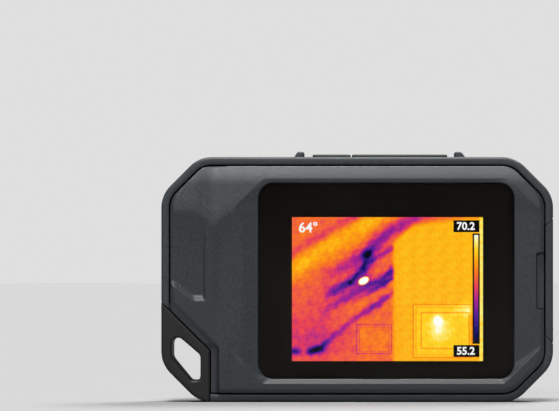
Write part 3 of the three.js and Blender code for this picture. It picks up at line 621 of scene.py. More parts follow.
def spine(outline):
    """The line along the middle that the surfaces close on."""
    x = np.clip(outline[:, 0], -24, 24)
    return np.stack([x, np.full(len(x), BODY_TOP / 2)], 1)


def lens_side_rings(drop, fine=True):
    """Rings from the body's edge to the middle of the lens side, closer together near the edge."""
    band = 4
    insets = np.linspace(0, band, 12 if fine else 4)
    rings = [on_lens_side(body_outline(inset + drop), inset, drop) for inset in insets]
    start = body_outline(band + drop)
    end = spine(start)
    near = np.linspace(0, 0.24, 34 if fine else 4)[1:]
    far = np.linspace(0.24, 1, 50 if fine else 8)[1:]
    outlines = [start * (1 - share) + end * share for share in (*near, *far)]
    return rings + [on_lens_side(outline, 9, drop) for outline in outlines]


def front_edge(drop, front):
    """Rings round the body's screen-side edge, from its face to its side."""
    steps = reversed(quarter_round(EDGE_ROUND))
    return [(body_outline(drop + inset), front + below) for inset, below in steps]


def straight_sides(drop, front, count):
    """Rings along the body's side, from the one after its front edge to the lens side."""
    outline = body_outline(drop)
    return [(outline, y) for y in np.linspace(front + EDGE_ROUND, SIDE_END - drop, count)[1:]]


def build_envelope(name, drop=0.0, front=RIM_FRONT):
    """The whole body as a solid, drop millimetres below its outer surface."""
    sides = straight_sides(drop, front, 6)
    return loft(name, [*front_edge(drop, front), *sides, *lens_side_rings(drop, fine=drop == 0)])


GUARDS = ((-17.0, -20.9), (31.2, 35.5))  # each finger guard's upright side, and the foot of its slope


def finger_guard(upright, foot):
    """A rib beside the keys: upright towards them, sloping down on its other side."""
    lean = upright + math.copysign(2.1, foot - upright)
    base = BODY_TOP - 1
    corners = [(upright, base), (upright, GUARD_TOP), (lean, GUARD_TOP), (foot, base)]
    return bevel(prism("guard", np.array(corners), -5.5, 5.5), 0.45)


def plate_corners():
    """The lens plate's corners, anticlockwise, with its long cut at the lower left."""
    left, right, bottom, top = plate_low[0], plate_high[0], plate_low[2], plate_high[2]
    return [
        (left + 18.6, bottom), (right - 10, bottom), (right, bottom + 10), (right, top - 10),
        (right - 10, top), (left + 10, top), (left, top - 10), (left, bottom + 18.6),
    ]


FLAP_HINGE = 53.0                # inner end of the flap on the lens side
FLAP_LOW = 18.9
FLAP_HIGH = 58.6
FLAP_WALL = 60.1                 # inner face of the flap's wall at the body's side


def flap_flange(grow):
    """The flap's outline on the lens side. Its groove is widest along the upper slant."""
    outer = HALF_WIDTH + 1
    inner = FLAP_HINGE - grow
    upper = 1.7 * grow
    return np.array([
        (inner, 29.9 - grow / 2), (inner + 1.6, 25.8 - grow), (outer, FLAP_LOW - grow),
        (outer, FLAP_HIGH + upper), (inner + 1.2, 52 + upper), (inner, 49.2 + upper / 2),
    ])


def flap_wall(grow):
    """The flap's outline where it wraps round the body's edge."""
    outer = HALF_WIDTH + 1
    inner = FLAP_WALL - grow
    return np.array([
        (inner, FLAP_LOW + 2.4), (outer, FLAP_LOW - 1 - grow),
        (outer, FLAP_HIGH + 1 + grow), (inner, FLAP_HIGH - 2.4),
    ])


def key_slot():
    """A cutter for the slot that holds both keys."""
    half = KEY_HALF + GAP
    left, right = power_low[0] - GAP, save_high[0] + GAP
    return block("slot", left, right, -half, half, KEY_SLOT_FLOOR, GUARD_TOP + 10)


def build_grip():
    """The rubber skin: rim on the screen side, edges, and the lens side, open for the other pieces."""
    inner = body_outline(RIM_INSET)
    skin_inside = SKIN + 0.05
    rings = [(inner, RIM_FRONT + SKIN), (inner, RIM_FRONT + 0.25)]
    rings += [(body_outline(RIM_INSET - 0.07), RIM_FRONT + 0.07), (body_outline(RIM_INSET - 0.25), RIM_FRONT)]
    rings += [(body_outline(1.5), RIM_FRONT), *front_edge(0, RIM_FRONT), *straight_sides(0, RIM_FRONT, 9)]
    rings += lens_side_rings(0)
    outer_count = len(rings)
    rings += reversed(lens_side_rings(skin_inside, fine=False))
    rings += [(body_outline(skin_inside), RIM_FRONT + SKIN)]
    grip = loft("grip_skin", rings, closed=True, skip=outer_count - 1)
    join(grip, *(finger_guard(*guard) for guard in GUARDS))
    cut(
        grip,
        hole(rounded(inset_corners(plate_corners(), -0.5), 2.5), 2),
        hole(flap_flange(0.45), 4),
        hole(flap_wall(GAP)),
        hole(loop_region(0.12)),
        key_slot(),
    )
    return finish(grip, rubber, nodes=["grip_overmould"])


# ---- screen side

GLASS_CENTRE = np.array([(glass_low[0] + glass_high[0]) / 2, (glass_low[2] + glass_high[2]) / 2])
GLASS_ROUND = 5.0
GLASS_LIP = 11.0                 # how far the lowest edge of the slopes stands out
SKIRT = 1.1                      # thickness of the skirt that reaches into the other shell
MOUTH_LEFT = -39.3               # the outline at which the slopes down to the glass start
MOUTH_RIGHT = 59.4
MOUTH_BOTTOM = 5.9
MOUTH_TOP = 71.4
NOTCH = (57, 64, 29.4, 47.9)     # left, right, bottom and top of the nail notch beside the flap


def seen_from(centre, outline, shape):
    """For each point of the outline, the point of the shape in the same direction from the centre."""
    found = []
    start = shape - centre
    step = np.roll(start, -1, axis=0) - start
    for point in outline - centre:
        direction = point / np.linalg.norm(point)
        cross = direction[0] * step[:, 1] - direction[1] * step[:, 0]
        cross = np.where(abs(cross) < 1e-9, 1e-9, cross)
        distance = (start[:, 0] * step[:, 1] - start[:, 1] * step[:, 0]) / cross
        along = (start[:, 0] * direction[1] - start[:, 1] * direction[0]) / cross
        hit = (along >= -1e-6) & (along <= 1 + 1e-6) & (distance > 0)
        found.append(centre + direction * distance[hit].min())
    return np.array(found)


def unit_step(value):
    """0 below 0, 1 above 1, and a smooth rise between."""
    share = np.clip(value, 0, 1)
    return share * share * (3 - 2 * share)


def edge_distance(x, z):
    """How far a point lies inside the body's outline, leaving out the lanyard corner."""
    corner = (HALF_WIDTH + BODY_TOP - CORNER_LEG - abs(x)) / math.sqrt(2)
    sides = smin(HALF_WIDTH - abs(x), smin(z, BODY_TOP - z, 1), 3)
    corners = smin(corner - z / math.sqrt(2), corner - (BODY_TOP - z) / math.sqrt(2), 1)
    return smin(sides, corners, 3)


def loop_distance(x, z):
    """How far a point lies from the lanyard corner."""
    return smax(x - LOOP_EDGE, (x + z - LOOP_EDGE - LOOP_KNEE) / math.sqrt(2), 0.8)


THUMB_LEFT = -60.0               # the thumb recess: its sides, its top and the foot of its V
THUMB_RIGHT = -48.5
THUMB_TOP = 61.3
THUMB_FOOT = 32.4


def thumb_depth(x, z):
    """The thumb recess: sinks slowly from its top, with a V-shaped end, beside a fainter hollow."""
    wall = (THUMB_RIGHT - x) / 0.7
    lower_left = (x + 58.4) * 0.587 + (z - 37.1) * 0.81
    lower_right = (z - THUMB_FOOT) / 1.6
    below = np.maximum(THUMB_TOP - 0.25 * abs(x + 56) - z, 0)
    ceiling = 1 - np.exp(-((below / 8.5) ** 1.3))
    outer = (x - THUMB_LEFT) / 1.5
    ends = smin(smin(lower_left, lower_right, 0.3), outer, 0.2)
    recess = np.clip(smax(smin(smin(wall, ceiling, 0.12), ends, 0.15), 0, 0.05), 0, 1)
    under = np.maximum(60.5 - 0.6 * abs(x + 40.5) - z, 0)
    hollow = unit_step((x + 46.8) / 4) * (1 - np.exp(-under / 5)) * unit_step((z - 12) / 30)
    return 0.65 * recess + 0.35 * hollow * unit_step((-36 - x) / 3.4)


def face_out(x, z):
    """How far the screen-side shell stands out at a point."""
    left = (x - MOUTH_LEFT) / 7.6
    right = (MOUTH_RIGHT - x) / 9.2
    top = (MOUTH_TOP - z) / 1.3
    bottom = (z - MOUTH_BOTTOM) / 1.4
    upper_left = (x - z + 101.0) / math.sqrt(2) / 2.8
    lower_left = (x + z + 24.2) / math.sqrt(2) / 2.2
    lower_right = (41.1 - x + z) / math.sqrt(2) / 2.2
    upper_right = (119.4 - x - z) / math.sqrt(2) / 5.0
    sides = smin(smin(left, right, 0.05), smin(top, bottom, 0.05), 0.15)
    corners = smin(smin(upper_left, lower_left, 0.05), smin(lower_right, upper_right, 0.05), 0.05)
    slope = np.clip(smax(smin(sides, corners, 0.18), 0, 0.04), 0, 1)
    edge = np.clip(1 - (edge_distance(x, z) - SHELL_INSET) / 1.6, 0, 1)
    cove = np.clip(1 - (loop_distance(x, z) - GAP) / 2.4, 0, 1) ** 0.45
    cove = cove * (0.4 + 0.6 * unit_step((19 - z) / 2.5))
    crest = 60.6 - 4.2 * unit_step(1 - abs(x + 45.7) / 6.5)
    above = smax(z - crest, 0, 0.8)
    upper = 0.08 * above + 0.016 * np.maximum(z - 69.3, 0) ** 2
    lower = 0.75 * (1 - np.exp(-smax(crest - z, 0, 0.8) / 9)) * unit_step((-36 - x) / 10)
    rim = FACE - smax(0.6 * edge ** 1.7, upper, 0.4) - lower
    rim = smax(rim - 2.0 * cove, 9.9, 0.3)
    sunk = rim - thumb_depth(x, z)
    lip = GLASS_LIP + 0.4 * unit_step((9 - z) / 2)
    return sunk + slope * (lip - sunk)


def build_screen_shell():
    """The hard shell on the screen side: its face, the slopes down to the glass, and the thumb recess."""
    edge = body_outline(SHELL_INSET + 0.25)
    mouth = rounded([
        (-30.2, MOUTH_BOTTOM), (47.0, MOUTH_BOTTOM), (MOUTH_RIGHT, 18.3), (MOUTH_RIGHT, 60.0),
        (48.0, MOUTH_TOP), (-29.6, MOUTH_TOP), (MOUTH_LEFT, 61.7), (MOUTH_LEFT, 15),
    ], 4, 12)
    mouth = seen_from(GLASS_CENTRE, edge, mouth)
    pocket = rounded(grown_box(glass_low, glass_high, 0.2), GLASS_ROUND, 12)
    pocket = seen_from(GLASS_CENTRE, edge, pocket)
    inside = GLASS_CENTRE + (pocket - GLASS_CENTRE) * 0.985
    skirt = body_outline(SHELL_INSET + SKIRT)

    def face(outline):
        return at_level(outline, -face_out(outline[:, 0], outline[:, 1]))

    rings = [(body_outline(SHELL_INSET), -9.3)]
    for inset, drop in ((0, 0.25), (0.04, 0.12), (0.12, 0.04)):
        outline = body_outline(SHELL_INSET + inset)
        rings.append(at_level(outline, drop - face_out(edge[:, 0], edge[:, 1])))
    rings += [face(edge * (1 - share) + mouth * share) for share in np.linspace(0, 1, 56) ** 1.25]
    rings += [face(mouth * (1 - share) + pocket * share) for share in np.linspace(0, 1, 16)[1:]]
    rings += [(pocket, -9.5), (inside, -9.5), (inside, -8.9)]
    rings += [(skirt, -8.9), (skirt, -6), (body_outline(SHELL_INSET), -6)]
    shell = loft("screen_shell", rings, closed=True)
    notch_corners = box_corners(*NOTCH)
    notch = rounded(notch_corners, 1.2, 4)
    notch_core = rounded(inset_corners(notch_corners, 0.4), 0.8, 4)
    notch_groove = hole(notch, y1=-FACE + 2.7)
    cut(notch_groove, hole(notch_core))
    cut(
        shell,
        hole(notch, y1=-FACE + 2.1),
        notch_groove,
        hole(flap_wall(GAP)),
        hole(loop_region(GAP)),
    )
    return finish(shell, slate_plastic, nodes=["screen_side_shell"])


def build_glass():
    """The cover glass with a rounded front edge, and the printed border behind it."""
    corners = grown_box(glass_low, glass_high)
    rings = [(rounded(corners, GLASS_ROUND, 8), GLASS_BACK)]
    for inset, below in quarter_round(0.25):
        outline = rounded(inset_corners(corners, inset), GLASS_ROUND - inset, 8)
        rings.append((outline, GLASS_FRONT + below))
    finish(loft("glass", rings), cover_glass, nodes=["cover_glass"])
    outline = rounded(inset_corners(corners, 0.15), GLASS_ROUND - 0.15, 8)
    border = prism("glass_print", outline, GLASS_BACK + 0.02, GLASS_BACK + 0.12)
    cut(border, hole(rounded(box_corners(*PICTURE), 0.2, 3)))
    finish(border, print_black)


PICTURE = (-20.8, 40.1, 13.1, 59.0)      # left, right, bottom and top of the lit picture
PICTURE_STEP = 0.22
BAR = (37.3, 38.6, 19.1, 53.3)           # the palette bar


def blob(x, z, at_x, at_z, wide, high, turn=0.0):
    """A soft spot of height 1."""
    angle = math.radians(turn)
    along = (x - at_x) * math.cos(angle) + (z - at_z) * math.sin(angle)
    across = (z - at_z) * math.cos(angle) - (x - at_x) * math.sin(angle)
    return np.exp(-((along / wide) ** 2 + (across / high) ** 2))


def beam(x, z, width, *places):
    """A soft line through places. Each place is (x, z, height of the line there)."""
    height = np.zeros_like(x)
    for (x0, z0, start), (x1, z1, end) in zip(places, places[1:]):
        run = np.array([x1 - x0, z1 - z0])
        along = np.clip(((x - x0) * run[0] + (z - z0) * run[1]) / (run @ run), 0, 1)
        away = np.hypot(x - x0 - along * run[0], z - z0 - along * run[1])
        height = np.maximum(height, (start + (end - start) * along) * np.exp(-((away / width) ** 2)))
    return height


def box_distance(x, z, box):
    """How far a point lies outside a box; negative inside it."""
    left, right, bottom, top = box
    return np.maximum(np.maximum(left - x, x - right), np.maximum(bottom - z, z - top))


def frame_line(x, z, box, width):
    """1 on the outline of a box, and 0 away from it."""
    return np.exp(-((box_distance(x, z, box) / width) ** 2))


def inside_box(x, z, box, soft):
    return 1 / (1 + np.exp(np.clip(box_distance(x, z, box) / soft, -50, 50)))


def mottle(x, z):
    """A fine unevenness."""
    total = 0
    for k in range(7):
        angle = 2.4 * k
        pace = 1.3 * 1.37 ** k
        total = total + np.sin(pace * (x * math.cos(angle) + z * math.sin(angle)) + 1.7 * k * k)
    return total / 4


WALL_CORNER = 11.6                       # where the room's two walls meet
SOCKET_PLATE = (-0.2, 10.9, 15.5, 24.7)  # a wall socket on the left wall
HOT_PLATE = (17.9, 36.6, 14.3, 31.1)     # the warm one on the right wall

# Cool lines on the left wall: width, then places on the line as (x, z, how much cooler).
COOL_LINES = [
    (2.2, (24, 60.8, 0.12), (18.5, 58.8, 0.2), (10.9, 54.8, 0.28), (6, 50.5, 0.3), (3.3, 47.2, 0.34),
     (-2, 44.5, 0.2), (-8.1, 40.9, 0.14), (-13, 38, 0)),
    (0.9, (11.2, 49.1, 0.22), (3.3, 44.1, 0.2), (-1, 42, 0)),
    (1.1, (3.3, 47.2, 0.2), (2.4, 43, 0.2), (-2.1, 38.4, 0.1)),
    (1.7, (5, 44.6, 0.1), (2.2, 42, 0.32), (-2.1, 38.4, 0.4), (-7.4, 35.2, 0.36), (-11, 33, 0)),
    (1.4, (11.2, 42, 0.46), (7, 38.6, 0.36), (2.5, 36.6, 0.36), (-0.5, 35.2, 0.28), (-9.4, 29.5, 0.14),
     (-13, 27, 0)),
    (0.8, (11.4, 39.4, 0.34), (4.6, 35.4, 0.26), (-2, 31.6, 0)),
    (1.0, (11.6, 35.2, 0.16), (5.9, 30.7, 0.34), (-1.1, 26.3, 0.16), (-7.5, 21.2, 0.16), (-11.3, 17.6, 0.36),
     (-15.1, 16.2, 0.36)),
]

# Spots: how much warmer, x, z, half width, half height, and turn in degrees.
LEFT_SPOTS = [
    (-0.15, -15, 20, 13, 8, 0), (-0.05, -14, 33, 8, 6, 0), (-0.26, 3.3, 47.3, 2.0, 1.3, 20),
    (-0.14, -2.1, 38.4, 1.2, 0.8, 40), (-0.34, -12.6, 16.7, 2.2, 1.1, 12), (-0.36, -19.8, 16.2, 1.6, 1.0, 0),
]
RIGHT_SPOTS = [
    (0.25, 25.8, 26.0, 1.3, 1.3, 0), (0.12, 26.1, 23.3, 3.0, 3.4, 0), (0.1, 35.5, 29.5, 4.0, 2.2, 0),
]


def left_wall_heat(x, z):
    """The left wall and the ceiling: a warm and a cool band, cool lines, and a wall socket's outline."""
    shift = 0.3 * mottle(0.4 * x, 0.4 * z)
    heat = 0.62 + 0.04 * mottle(0.5 * x, 0.5 * z) + 0.03 * mottle(x + 9, z)
    heat += beam(x, z, 3.6, (-28, 38.3, 0.16), (-20, 42.8, 0.16), (5.2, 58.6, 0.16), (12, 63, 0.16))
    heat -= beam(x, z, 1.5, (-26, 44.4, 0.1), (-18.2, 49, 0.12), (-3, 58, 0.16), (2, 61, 0.16))
    for width, *places in COOL_LINES:
        heat -= beam(x + shift, z - shift, width, *places)
    for warmer, *spot in LEFT_SPOTS:
        heat += warmer * blob(x, z, *spot)
    heat -= 0.2 * frame_line(x, z, SOCKET_PLATE, 0.18) + 0.12 * frame_line(x, z, (0.6, 10.1, 16.2, 24), 0.16)
    return heat + 0.05 * inside_box(x, z, SOCKET_PLATE, 0.3)


def right_wall_heat(x, z):
    """The right wall, evenly warm, with a warm wall socket and its outlines."""
    heat = 0.79 + 0.03 * mottle(x, z) + 0.01 * (z > 31) + 0.06 * inside_box(x, z, HOT_PLATE, 0.15)
    outlines = ((0.2, HOT_PLATE), (0.1, (18.8, 36.1, 15.2, 30.2)), (0.2, (20.4, 35.7, 17.1, 28.5)))
    for cooler, box in outlines:
        heat -= cooler * frame_line(x, z, box, 0.16)
    for warmer, *spot in RIGHT_SPOTS:
        heat += warmer * blob(x, z, *spot)
    return heat + 0.1 * (x > 38.9)


def heat_at(x, z):
    """The heat picture: the corner of a room, with a hot spot on its left wall."""
    ceiling = smin(51 + (x - WALL_CORNER) * 0.9, 56.6 + (x - 17.3) * 0.12, 1.5)
    on_right = 1 / (1 + np.exp(-(x - WALL_CORNER) / 0.25)) / (1 + np.exp((z - ceiling) / 0.4))
    heat = left_wall_heat(x, z) * (1 - on_right) + right_wall_heat(x, z) * on_right
    halo = blob(x, z, 2.06, 38.7, 2.3, 1.5, 30)
    core = 1 / (1 + np.exp((0.42 - blob(x, z, 2.06, 38.7, 2.0, 1.25, 28)) / 0.03))
    heat = heat + (0.3 - heat) * np.clip(halo * 1.3, 0, 1)
    return np.clip(heat * (1 - core) + core, 0, 1)


def heat_sheet(name, box, step, front_level, back_level, heat):
    """A thin panel whose front is a grid, step wide, that carries the heat as its warmth attribute."""
    left, right, bottom, top = box
    width = int((right - left) / step) + 1
    height = int((top - bottom) / step) + 1
    grid_x, grid_z = np.meshgrid(np.linspace(left, right, width), np.linspace(bottom, top, height))
    front = np.stack([grid_x.ravel(), np.full(grid_x.size, front_level), grid_z.ravel()], 1)
    corners = [row * width + column for row in range(height - 1) for column in range(width - 1)]
    faces = [(corner, corner + 1, corner + width + 1, corner + width) for corner in corners]
    edge = [*range(width), *range(2 * width - 1, width * height, width)]
    edge += [*range(width * height - 2, width * (height - 1) - 1, -1)]
    edge += [*range(width * (height - 2), 0, -width)]
    back = front[edge].copy()
    back[:, 1] = back_level
    first = len(front)
    for k in range(len(edge)):
        after = (k + 1) % len(edge)
        faces.append((edge[k], first + k, first + after, edge[after]))
    faces.append(range(first, first + len(edge)))
    piece = mesh_object(name, np.concatenate([front, back]), faces)
    warmth = piece.data.attributes.new("warmth", "FLOAT", "POINT")
    places = np.array([vertex.co for vertex in piece.data.vertices])
    warmth.data.foreach_set("value", heat(places[:, 0], places[:, 2]))
    return piece


def screen_label(name, box):
    """A thin dark panel just in front of the lit picture."""
    left, right, bottom, top = box
    panel = block(name, left, right, lcd_low[1] - 0.03, lcd_low[1] - 0.01, bottom, top)
    finish(panel, readout_dark)


def build_picture():
    """The lit panel, and in front of it the palette bar in its dark frame."""
    picture = heat_sheet("lcd_picture", PICTURE, PICTURE_STEP, lcd_low[1], lcd_high[1], heat_at)
    finish(picture, screen_picture, nodes=["lcd_panel"])
    left, right, bottom, top = BAR
    screen_label("palette_border", (left - 0.5, right + 0.5, bottom - 0.5, top + 0.5))
    bar = heat_sheet("palette_bar", BAR, 0.7, lcd_low[1] - 0.05, lcd_low[1] - 0.035,
                     lambda x, z: (z - bottom) / (top - bottom))
    finish(bar, screen_picture)


def digits(name, text, x, z, height):
    """A number on the screen, its left end at x and its foot at z."""
    curve = bpy.data.curves.new(name, "FONT")
    curve.body = text
    curve.size = height / 0.72
    curve.extrude = 0.01
    curve.offset = 0.09
    curve.resolution_u = 3
    label = new_object(name, curve)
    mesh = bpy.data.meshes.new_from_object(label.evaluated_get(bpy.context.evaluated_depsgraph_get()))
    bpy.data.objects.remove(label)
    piece = new_object(name, mesh)
    for vertex in mesh.vertices:
        vertex.co = (x + vertex.co.x, lcd_low[1] - 0.05 - vertex.co.z, z + vertex.co.y)
    turn_outward(piece)
    finish(piece, readout_white)


def build_readouts():
    """The spot reading, and the two ends of the palette on dark panels."""
    digits("readout_spot", "64°", -18.7, 54.2, 3.2)
    for name, text, foot in (("readout_high", "70.2", 54.2), ("readout_low", "55.2", 14.4)):
        digits(name, text, 31.7, foot + 0.8, 2.45)
        screen_label(name + "_panel", (30.7, 39.0, foot, foot + 3.8))


# ---- lanyard loop, flap and keys

def loop_outline(inset):
    """The lanyard corner's outline: the body's rounded corner, the straight side and the 45 degree side."""
    radius = CORNER_ROUND - inset
    reach = CORNER_LEG + CORNER_ROUND * math.tan(math.pi / 8)
    centre_x = reach - HALF_WIDTH
    edge = LOOP_EDGE - inset
    knee = LOOP_KNEE - inset * (math.sqrt(2) - 1)
    side = inset - HALF_WIDTH
    points = []
    for angle in np.linspace(0, math.pi / 4, 9):
        x = CORNER_ROUND - HALF_WIDTH - radius * math.cos(angle)
        points.append((x, reach - radius * math.sin(angle)))
    for angle in np.linspace(math.pi / 4, math.asin((centre_x - edge + 0.9) / radius), 9):
        points.append((centre_x - radius * math.sin(angle), CORNER_ROUND - radius * math.cos(angle)))
    foot = CORNER_ROUND - math.sqrt(radius ** 2 - (centre_x - edge) ** 2)
    sides = rounded(
        [(edge, foot), (edge, knee), (side, knee + edge - side), (side, reach + 0.4), (-58, foot)],
        [max(0.6 - inset, 0.1), max(1.2 - inset, 0.1), 0.1, 0, 0], 5, edges=[10, 12, 10, 1, 1])
    return np.concatenate([points, sides[:-2]])


EYE = [(-59.2, 22.9), (-59.2, 14.2), (-53.1, 6.8), (-50, 6.8), (-50, 15)]
EYE_RADII = [2, 3, 1.2, 1.6, 2]
EYE_CENTRE = np.array([-54.2, 14.6])


def eye_outline(inset):
    """The strap eye's outline, with its points in the directions of the loop's outer ones."""
    radii = [max(radius - inset, 0.05) for radius in EYE_RADII]
    shape = rounded(inset_corners(EYE, inset), radii, 10)
    return seen_from(EYE_CENTRE, loop_outline(0), shape)


def build_loop():
    """The loop at the lanyard corner, a ring of even width round its eye, with rounded edges."""
    rings = [(loop_outline(1.4), RIM_FRONT)]
    edge = quarter_round(0.7, np.linspace(0, QUARTER_TURN, 6))
    rings += [(loop_outline(inset), RIM_FRONT + drop) for drop, inset in edge]
    sides = np.linspace(RIM_FRONT + EDGE_ROUND, SIDE_END, 5)[1:]
    rings += [(loop_outline(0), y) for y in sides]
    rings += [on_lens_side(loop_outline(inset), inset) for inset in (0, 0.3, 0.6, 0.9, 1.2, 1.6, 2.0)]
    for inset in (-0.9, -0.5, -0.25, -0.08, 0):
        soft = 0.5 * (1 - math.sqrt(max(0, 1 - (1 + max(inset, -0.5) / 0.5) ** 2)))
        rings.append(on_lens_side(eye_outline(inset), 3, soft))
    rings.append((eye_outline(0), RIM_FRONT + 0.6))
    edge = quarter_round(0.6, np.linspace(0.3, QUARTER_TURN, 4))
    rings += [(eye_outline(-inset), RIM_FRONT + drop) for inset, drop in edge]
    rings.append((eye_outline(-0.9), RIM_FRONT))
    loop = loft("loop", rings, closed=True)
    return finish(loop, loop_plastic, nodes=["lanyard_loop"])


def build_flap():
    """The flap over the charging socket: flange, edge wall and the plug on its inner side."""
    flap = build_envelope("flap")
    flange = prism("flange", flap_flange(-0.25), 7.4, FAR)
    cut(flange, build_envelope("under_flange", SKIN - GAP, -20))
    region = join(flange, prism("wall", flap_wall(0), -FAR, 7.5))
    combine(flap, "INTERSECT", region)
    plug = bevel(block("plug", 58.3, FLAP_WALL + 0.4, -2, 2, 33.5, 43.5), 0.5)
    join(flap, plug)
    return finish(flap, rubber, body="usb_cover", nodes=["usb_cover"])


def build_flap_strap():
    """The soft strap that the flap bends on."""
    strap = block("strap", 50.8, 54.2, 8.9, 9.4, 31, 48.2)
    work = bmesh.new()
    work.from_mesh(strap.data)
    for _ in range(4):
        bmesh.ops.subdivide_edges(work, edges=work.edges, cuts=1, use_grid_fill=True)
    work.to_mesh(strap.data)
    work.free()
    for vertex in strap.data.vertices:
        vertex.co *= MM
    strap.data.materials.append(rubber)
    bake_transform(strap)
    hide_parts("usb_cover_strap")


def build_key(name, low, high):
    """A key cap with rounded edges, its retaining flange and its plunger."""
    foot, top = low[2], high[2]

    def ring(inset, level):
        edge = KEY_HALF - inset
        outline = rounded(box_corners(low[0] + inset + 0.1, high[0] - inset - 0.1, -edge, edge), 0.7, 5)
        return np.stack([outline[:, 0], outline[:, 1], np.full(len(outline), level)], 1)

    rings = [ring(-0.8, foot + 0.7), ring(-0.8, foot + 1.3), ring(0, foot + 1.3), ring(0, top - 0.5)]
    rings += [ring(inset, top - drop) for inset, drop in quarter_round(0.5, (0.4, 0.8, 1.2, QUARTER_TURN))]
    key = loft(name + "_cap", rings)
    middle = (low[0] + high[0]) / 2
    join(key, block("stem", middle - 1.5, middle + 1.5, -1.5, 1.5, foot, foot + 0.9))
    return finish(key, key_plastic, body=name, nodes=[name])


# ---- lens side pieces

IR_Z = 46.7                      # the infrared lens, on the ring's middle line
CAMERA_Z = 57.8                  # the visible-light camera above it
SLOT_LOW = 58.05                 # centres of the camera window's two round ends
SLOT_HIGH = 60.8
TORCH_X = -19.3
TORCH_Z = 68.1
RING_REACH = 20.2                # radius of the lens ring
BRIDGE_REACH = 16.0              # radius of the bridge plate's round ends
BRIDGE_HALF = 7.6                # half of its width


def build_lens_plate():
    """The metal plate with a bevelled edge, holes for the ring and the torch, and a groove at the ring."""
    corners = plate_corners()
    steps = ((0, plate_low[1]), (0, PLATE_TOP - 0.6), (0.05, PLATE_TOP - 0.5), (0.8, PLATE_TOP - 0.03),
             (0.9, PLATE_TOP))
    plate = loft("plate", [(rounded(inset_corners(corners, inset), 2.0 - inset, 8), y) for inset, y in steps])
    low, high = RING_REACH + 0.7, RING_REACH + 1.1
    cut(
        plate,
        hole(circle(RING_X, RING_Z, 16.7, 96), 0),
        hole(circle(TORCH_X, TORCH_Z, 2.9, 48), 0),
        turned("groove", [(low, 10.2), (high, 10.2), (high, 11), (low, 11)], RING_X, RING_Z, 96),
    )
    return finish(plate, taupe_metal, nodes=["lens_plate"], sharp=25)


def strip_of_circle(half, radius, count=24):
    """The part of a circle round the ring's axis that lies within half of its middle line."""
    end = math.acos(half / radius)
    upper = np.linspace(end, math.pi - end, count)
    return arc_points(RING_X, RING_Z, radius, np.concatenate([upper, upper + math.pi]))


def recess(side):
    """A D-shaped cutter beside the bridge, with a sloping round wall; side is -1 or 1."""
    rings = []
    for radius, half, y in ((16.9, 11.1, 10.7), (18.3, 10.6, 11.7), (18.5, 10.5, 12.0), (18.5, 10.5, FAR)):
        end = math.acos(half / radius)
        outline = arc_points(0, RING_Z, radius, np.linspace(-end, end, 40))
        outline[:, 0] = RING_X + side * outline[:, 0]
        rings.append((outline, y))
    return loft("recess", rings)


def build_lens_ring():
    """The fixed ring: two D-shaped recesses, and a seat for the bridge with an opening for the lenses."""
    ring = knob("ring", [
        (0, 9.4), (16.4, 9.4), (16.4, 10.45), (RING_REACH, 10.45), (RING_REACH, 11.4),
        (RING_REACH - 0.2, 11.75), (RING_REACH - 0.6, 12), (0, 12),
    ], RING_X, RING_Z, 96)
    seat = BRIDGE_REACH + 0.2
    bridge_seat = hole(strip_of_circle(BRIDGE_HALF + 0.15, seat), 10.2)
    cut(ring, recess(-1), recess(1), bridge_seat, hole(strip_of_circle(6.9, seat), 0))
    bevel(ring, 0.35, angle=40)
    return finish(ring, ring_plastic, nodes=["lens_ring"], sharp=25)


def stadium(radius, count=20):
    """The camera window's outline: two half circles and the straight stretches between them."""
    upper = np.linspace(0, math.pi, count)
    top = arc_points(RING_X, SLOT_HIGH, radius, upper)
    return np.concatenate([top, arc_points(RING_X, SLOT_LOW, radius, upper + math.pi)])


def build_bridge():
    """The metal plate on the ring's bridge, with its two openings."""
    plate = prism("bridge_plate", strip_of_circle(BRIDGE_HALF, BRIDGE_REACH), bridge_low[1], bridge_high[1])
    cut(plate, hole(stadium(3.55), 0), hole(circle(RING_X, IR_Z, 5.5), 0))
    bevel(plate, 0.25, 2, 40)
    finish(plate, bridge_metal, nodes=["lens_bridge_plate"], sharp=25)


def dome(radius, base, rim, crown):
    """A lens's profile: a cylinder from base to rim under a parabola up to crown."""
    shares = np.linspace(1, 0, 10)
    bulge = [(radius * share, rim + (crown - rim) * (1 - share * share)) for share in shares]
    return [(0, base), (radius, base), *bulge]


def build_lenses():
    """The infrared lens in its barrel, and the camera behind its window."""
    barrel = turned("ir_barrel", [
        (3.1, 4.3), (5.3, 4.3), (5.3, 10.9), (5.2, 11.2), (4.95, 11.35), (4.5, 11.35), (4.25, 11.2),
        (3.85, 10.8), (3.8, 8.5), (3.1, 8.5),
    ], RING_X, IR_Z)
    finish(barrel, black_plastic, nodes=["ir_lens_barrel"])
    ir_coat = coated_lens("ir_coat", (0.02, 0.16, 0.05), (0.005, 0.05, 0.02), RING_X, IR_Z, 3.65)
    ir_lens = knob("ir_lens_dome", dome(3.65, 8.6, 9.3, 11.2), RING_X, IR_Z)
    finish(ir_lens, ir_coat, nodes=["ir_lens"])
    window = prism("slot_liner", stadium(3.4), 8.7, 11.2)
    cut(window, hole(stadium(3.0), 10.2), hole(circle(RING_X, CAMERA_Z, 2.8, 48), 0))
    bevel(window, 0.12, 2, 40)
    finish(window, black_plastic, nodes=["camera_window"], sharp=25)
    eye = knob("camera_barrel", [
        (0, 7.5), (2.6, 7.5), (2.6, 10.2), (2.5, 10.45), (2.2, 10.6), (1.7, 10.6), (1.35, 10.3),
        (1.3, 9.9), (0, 9.9),
    ], RING_X, CAMERA_Z)
    finish(eye, black_plastic, nodes=["camera_lens"])
    front_coat = coated_lens("camera_coat", (0.01, 0.012, 0.03), (0.004, 0.004, 0.008), RING_X, CAMERA_Z, 1.3)
    front = knob("camera_front_glass", dome(1.28, 9.95, 10.05, 10.35), RING_X, CAMERA_Z, 48)
    finish(front, front_coat)


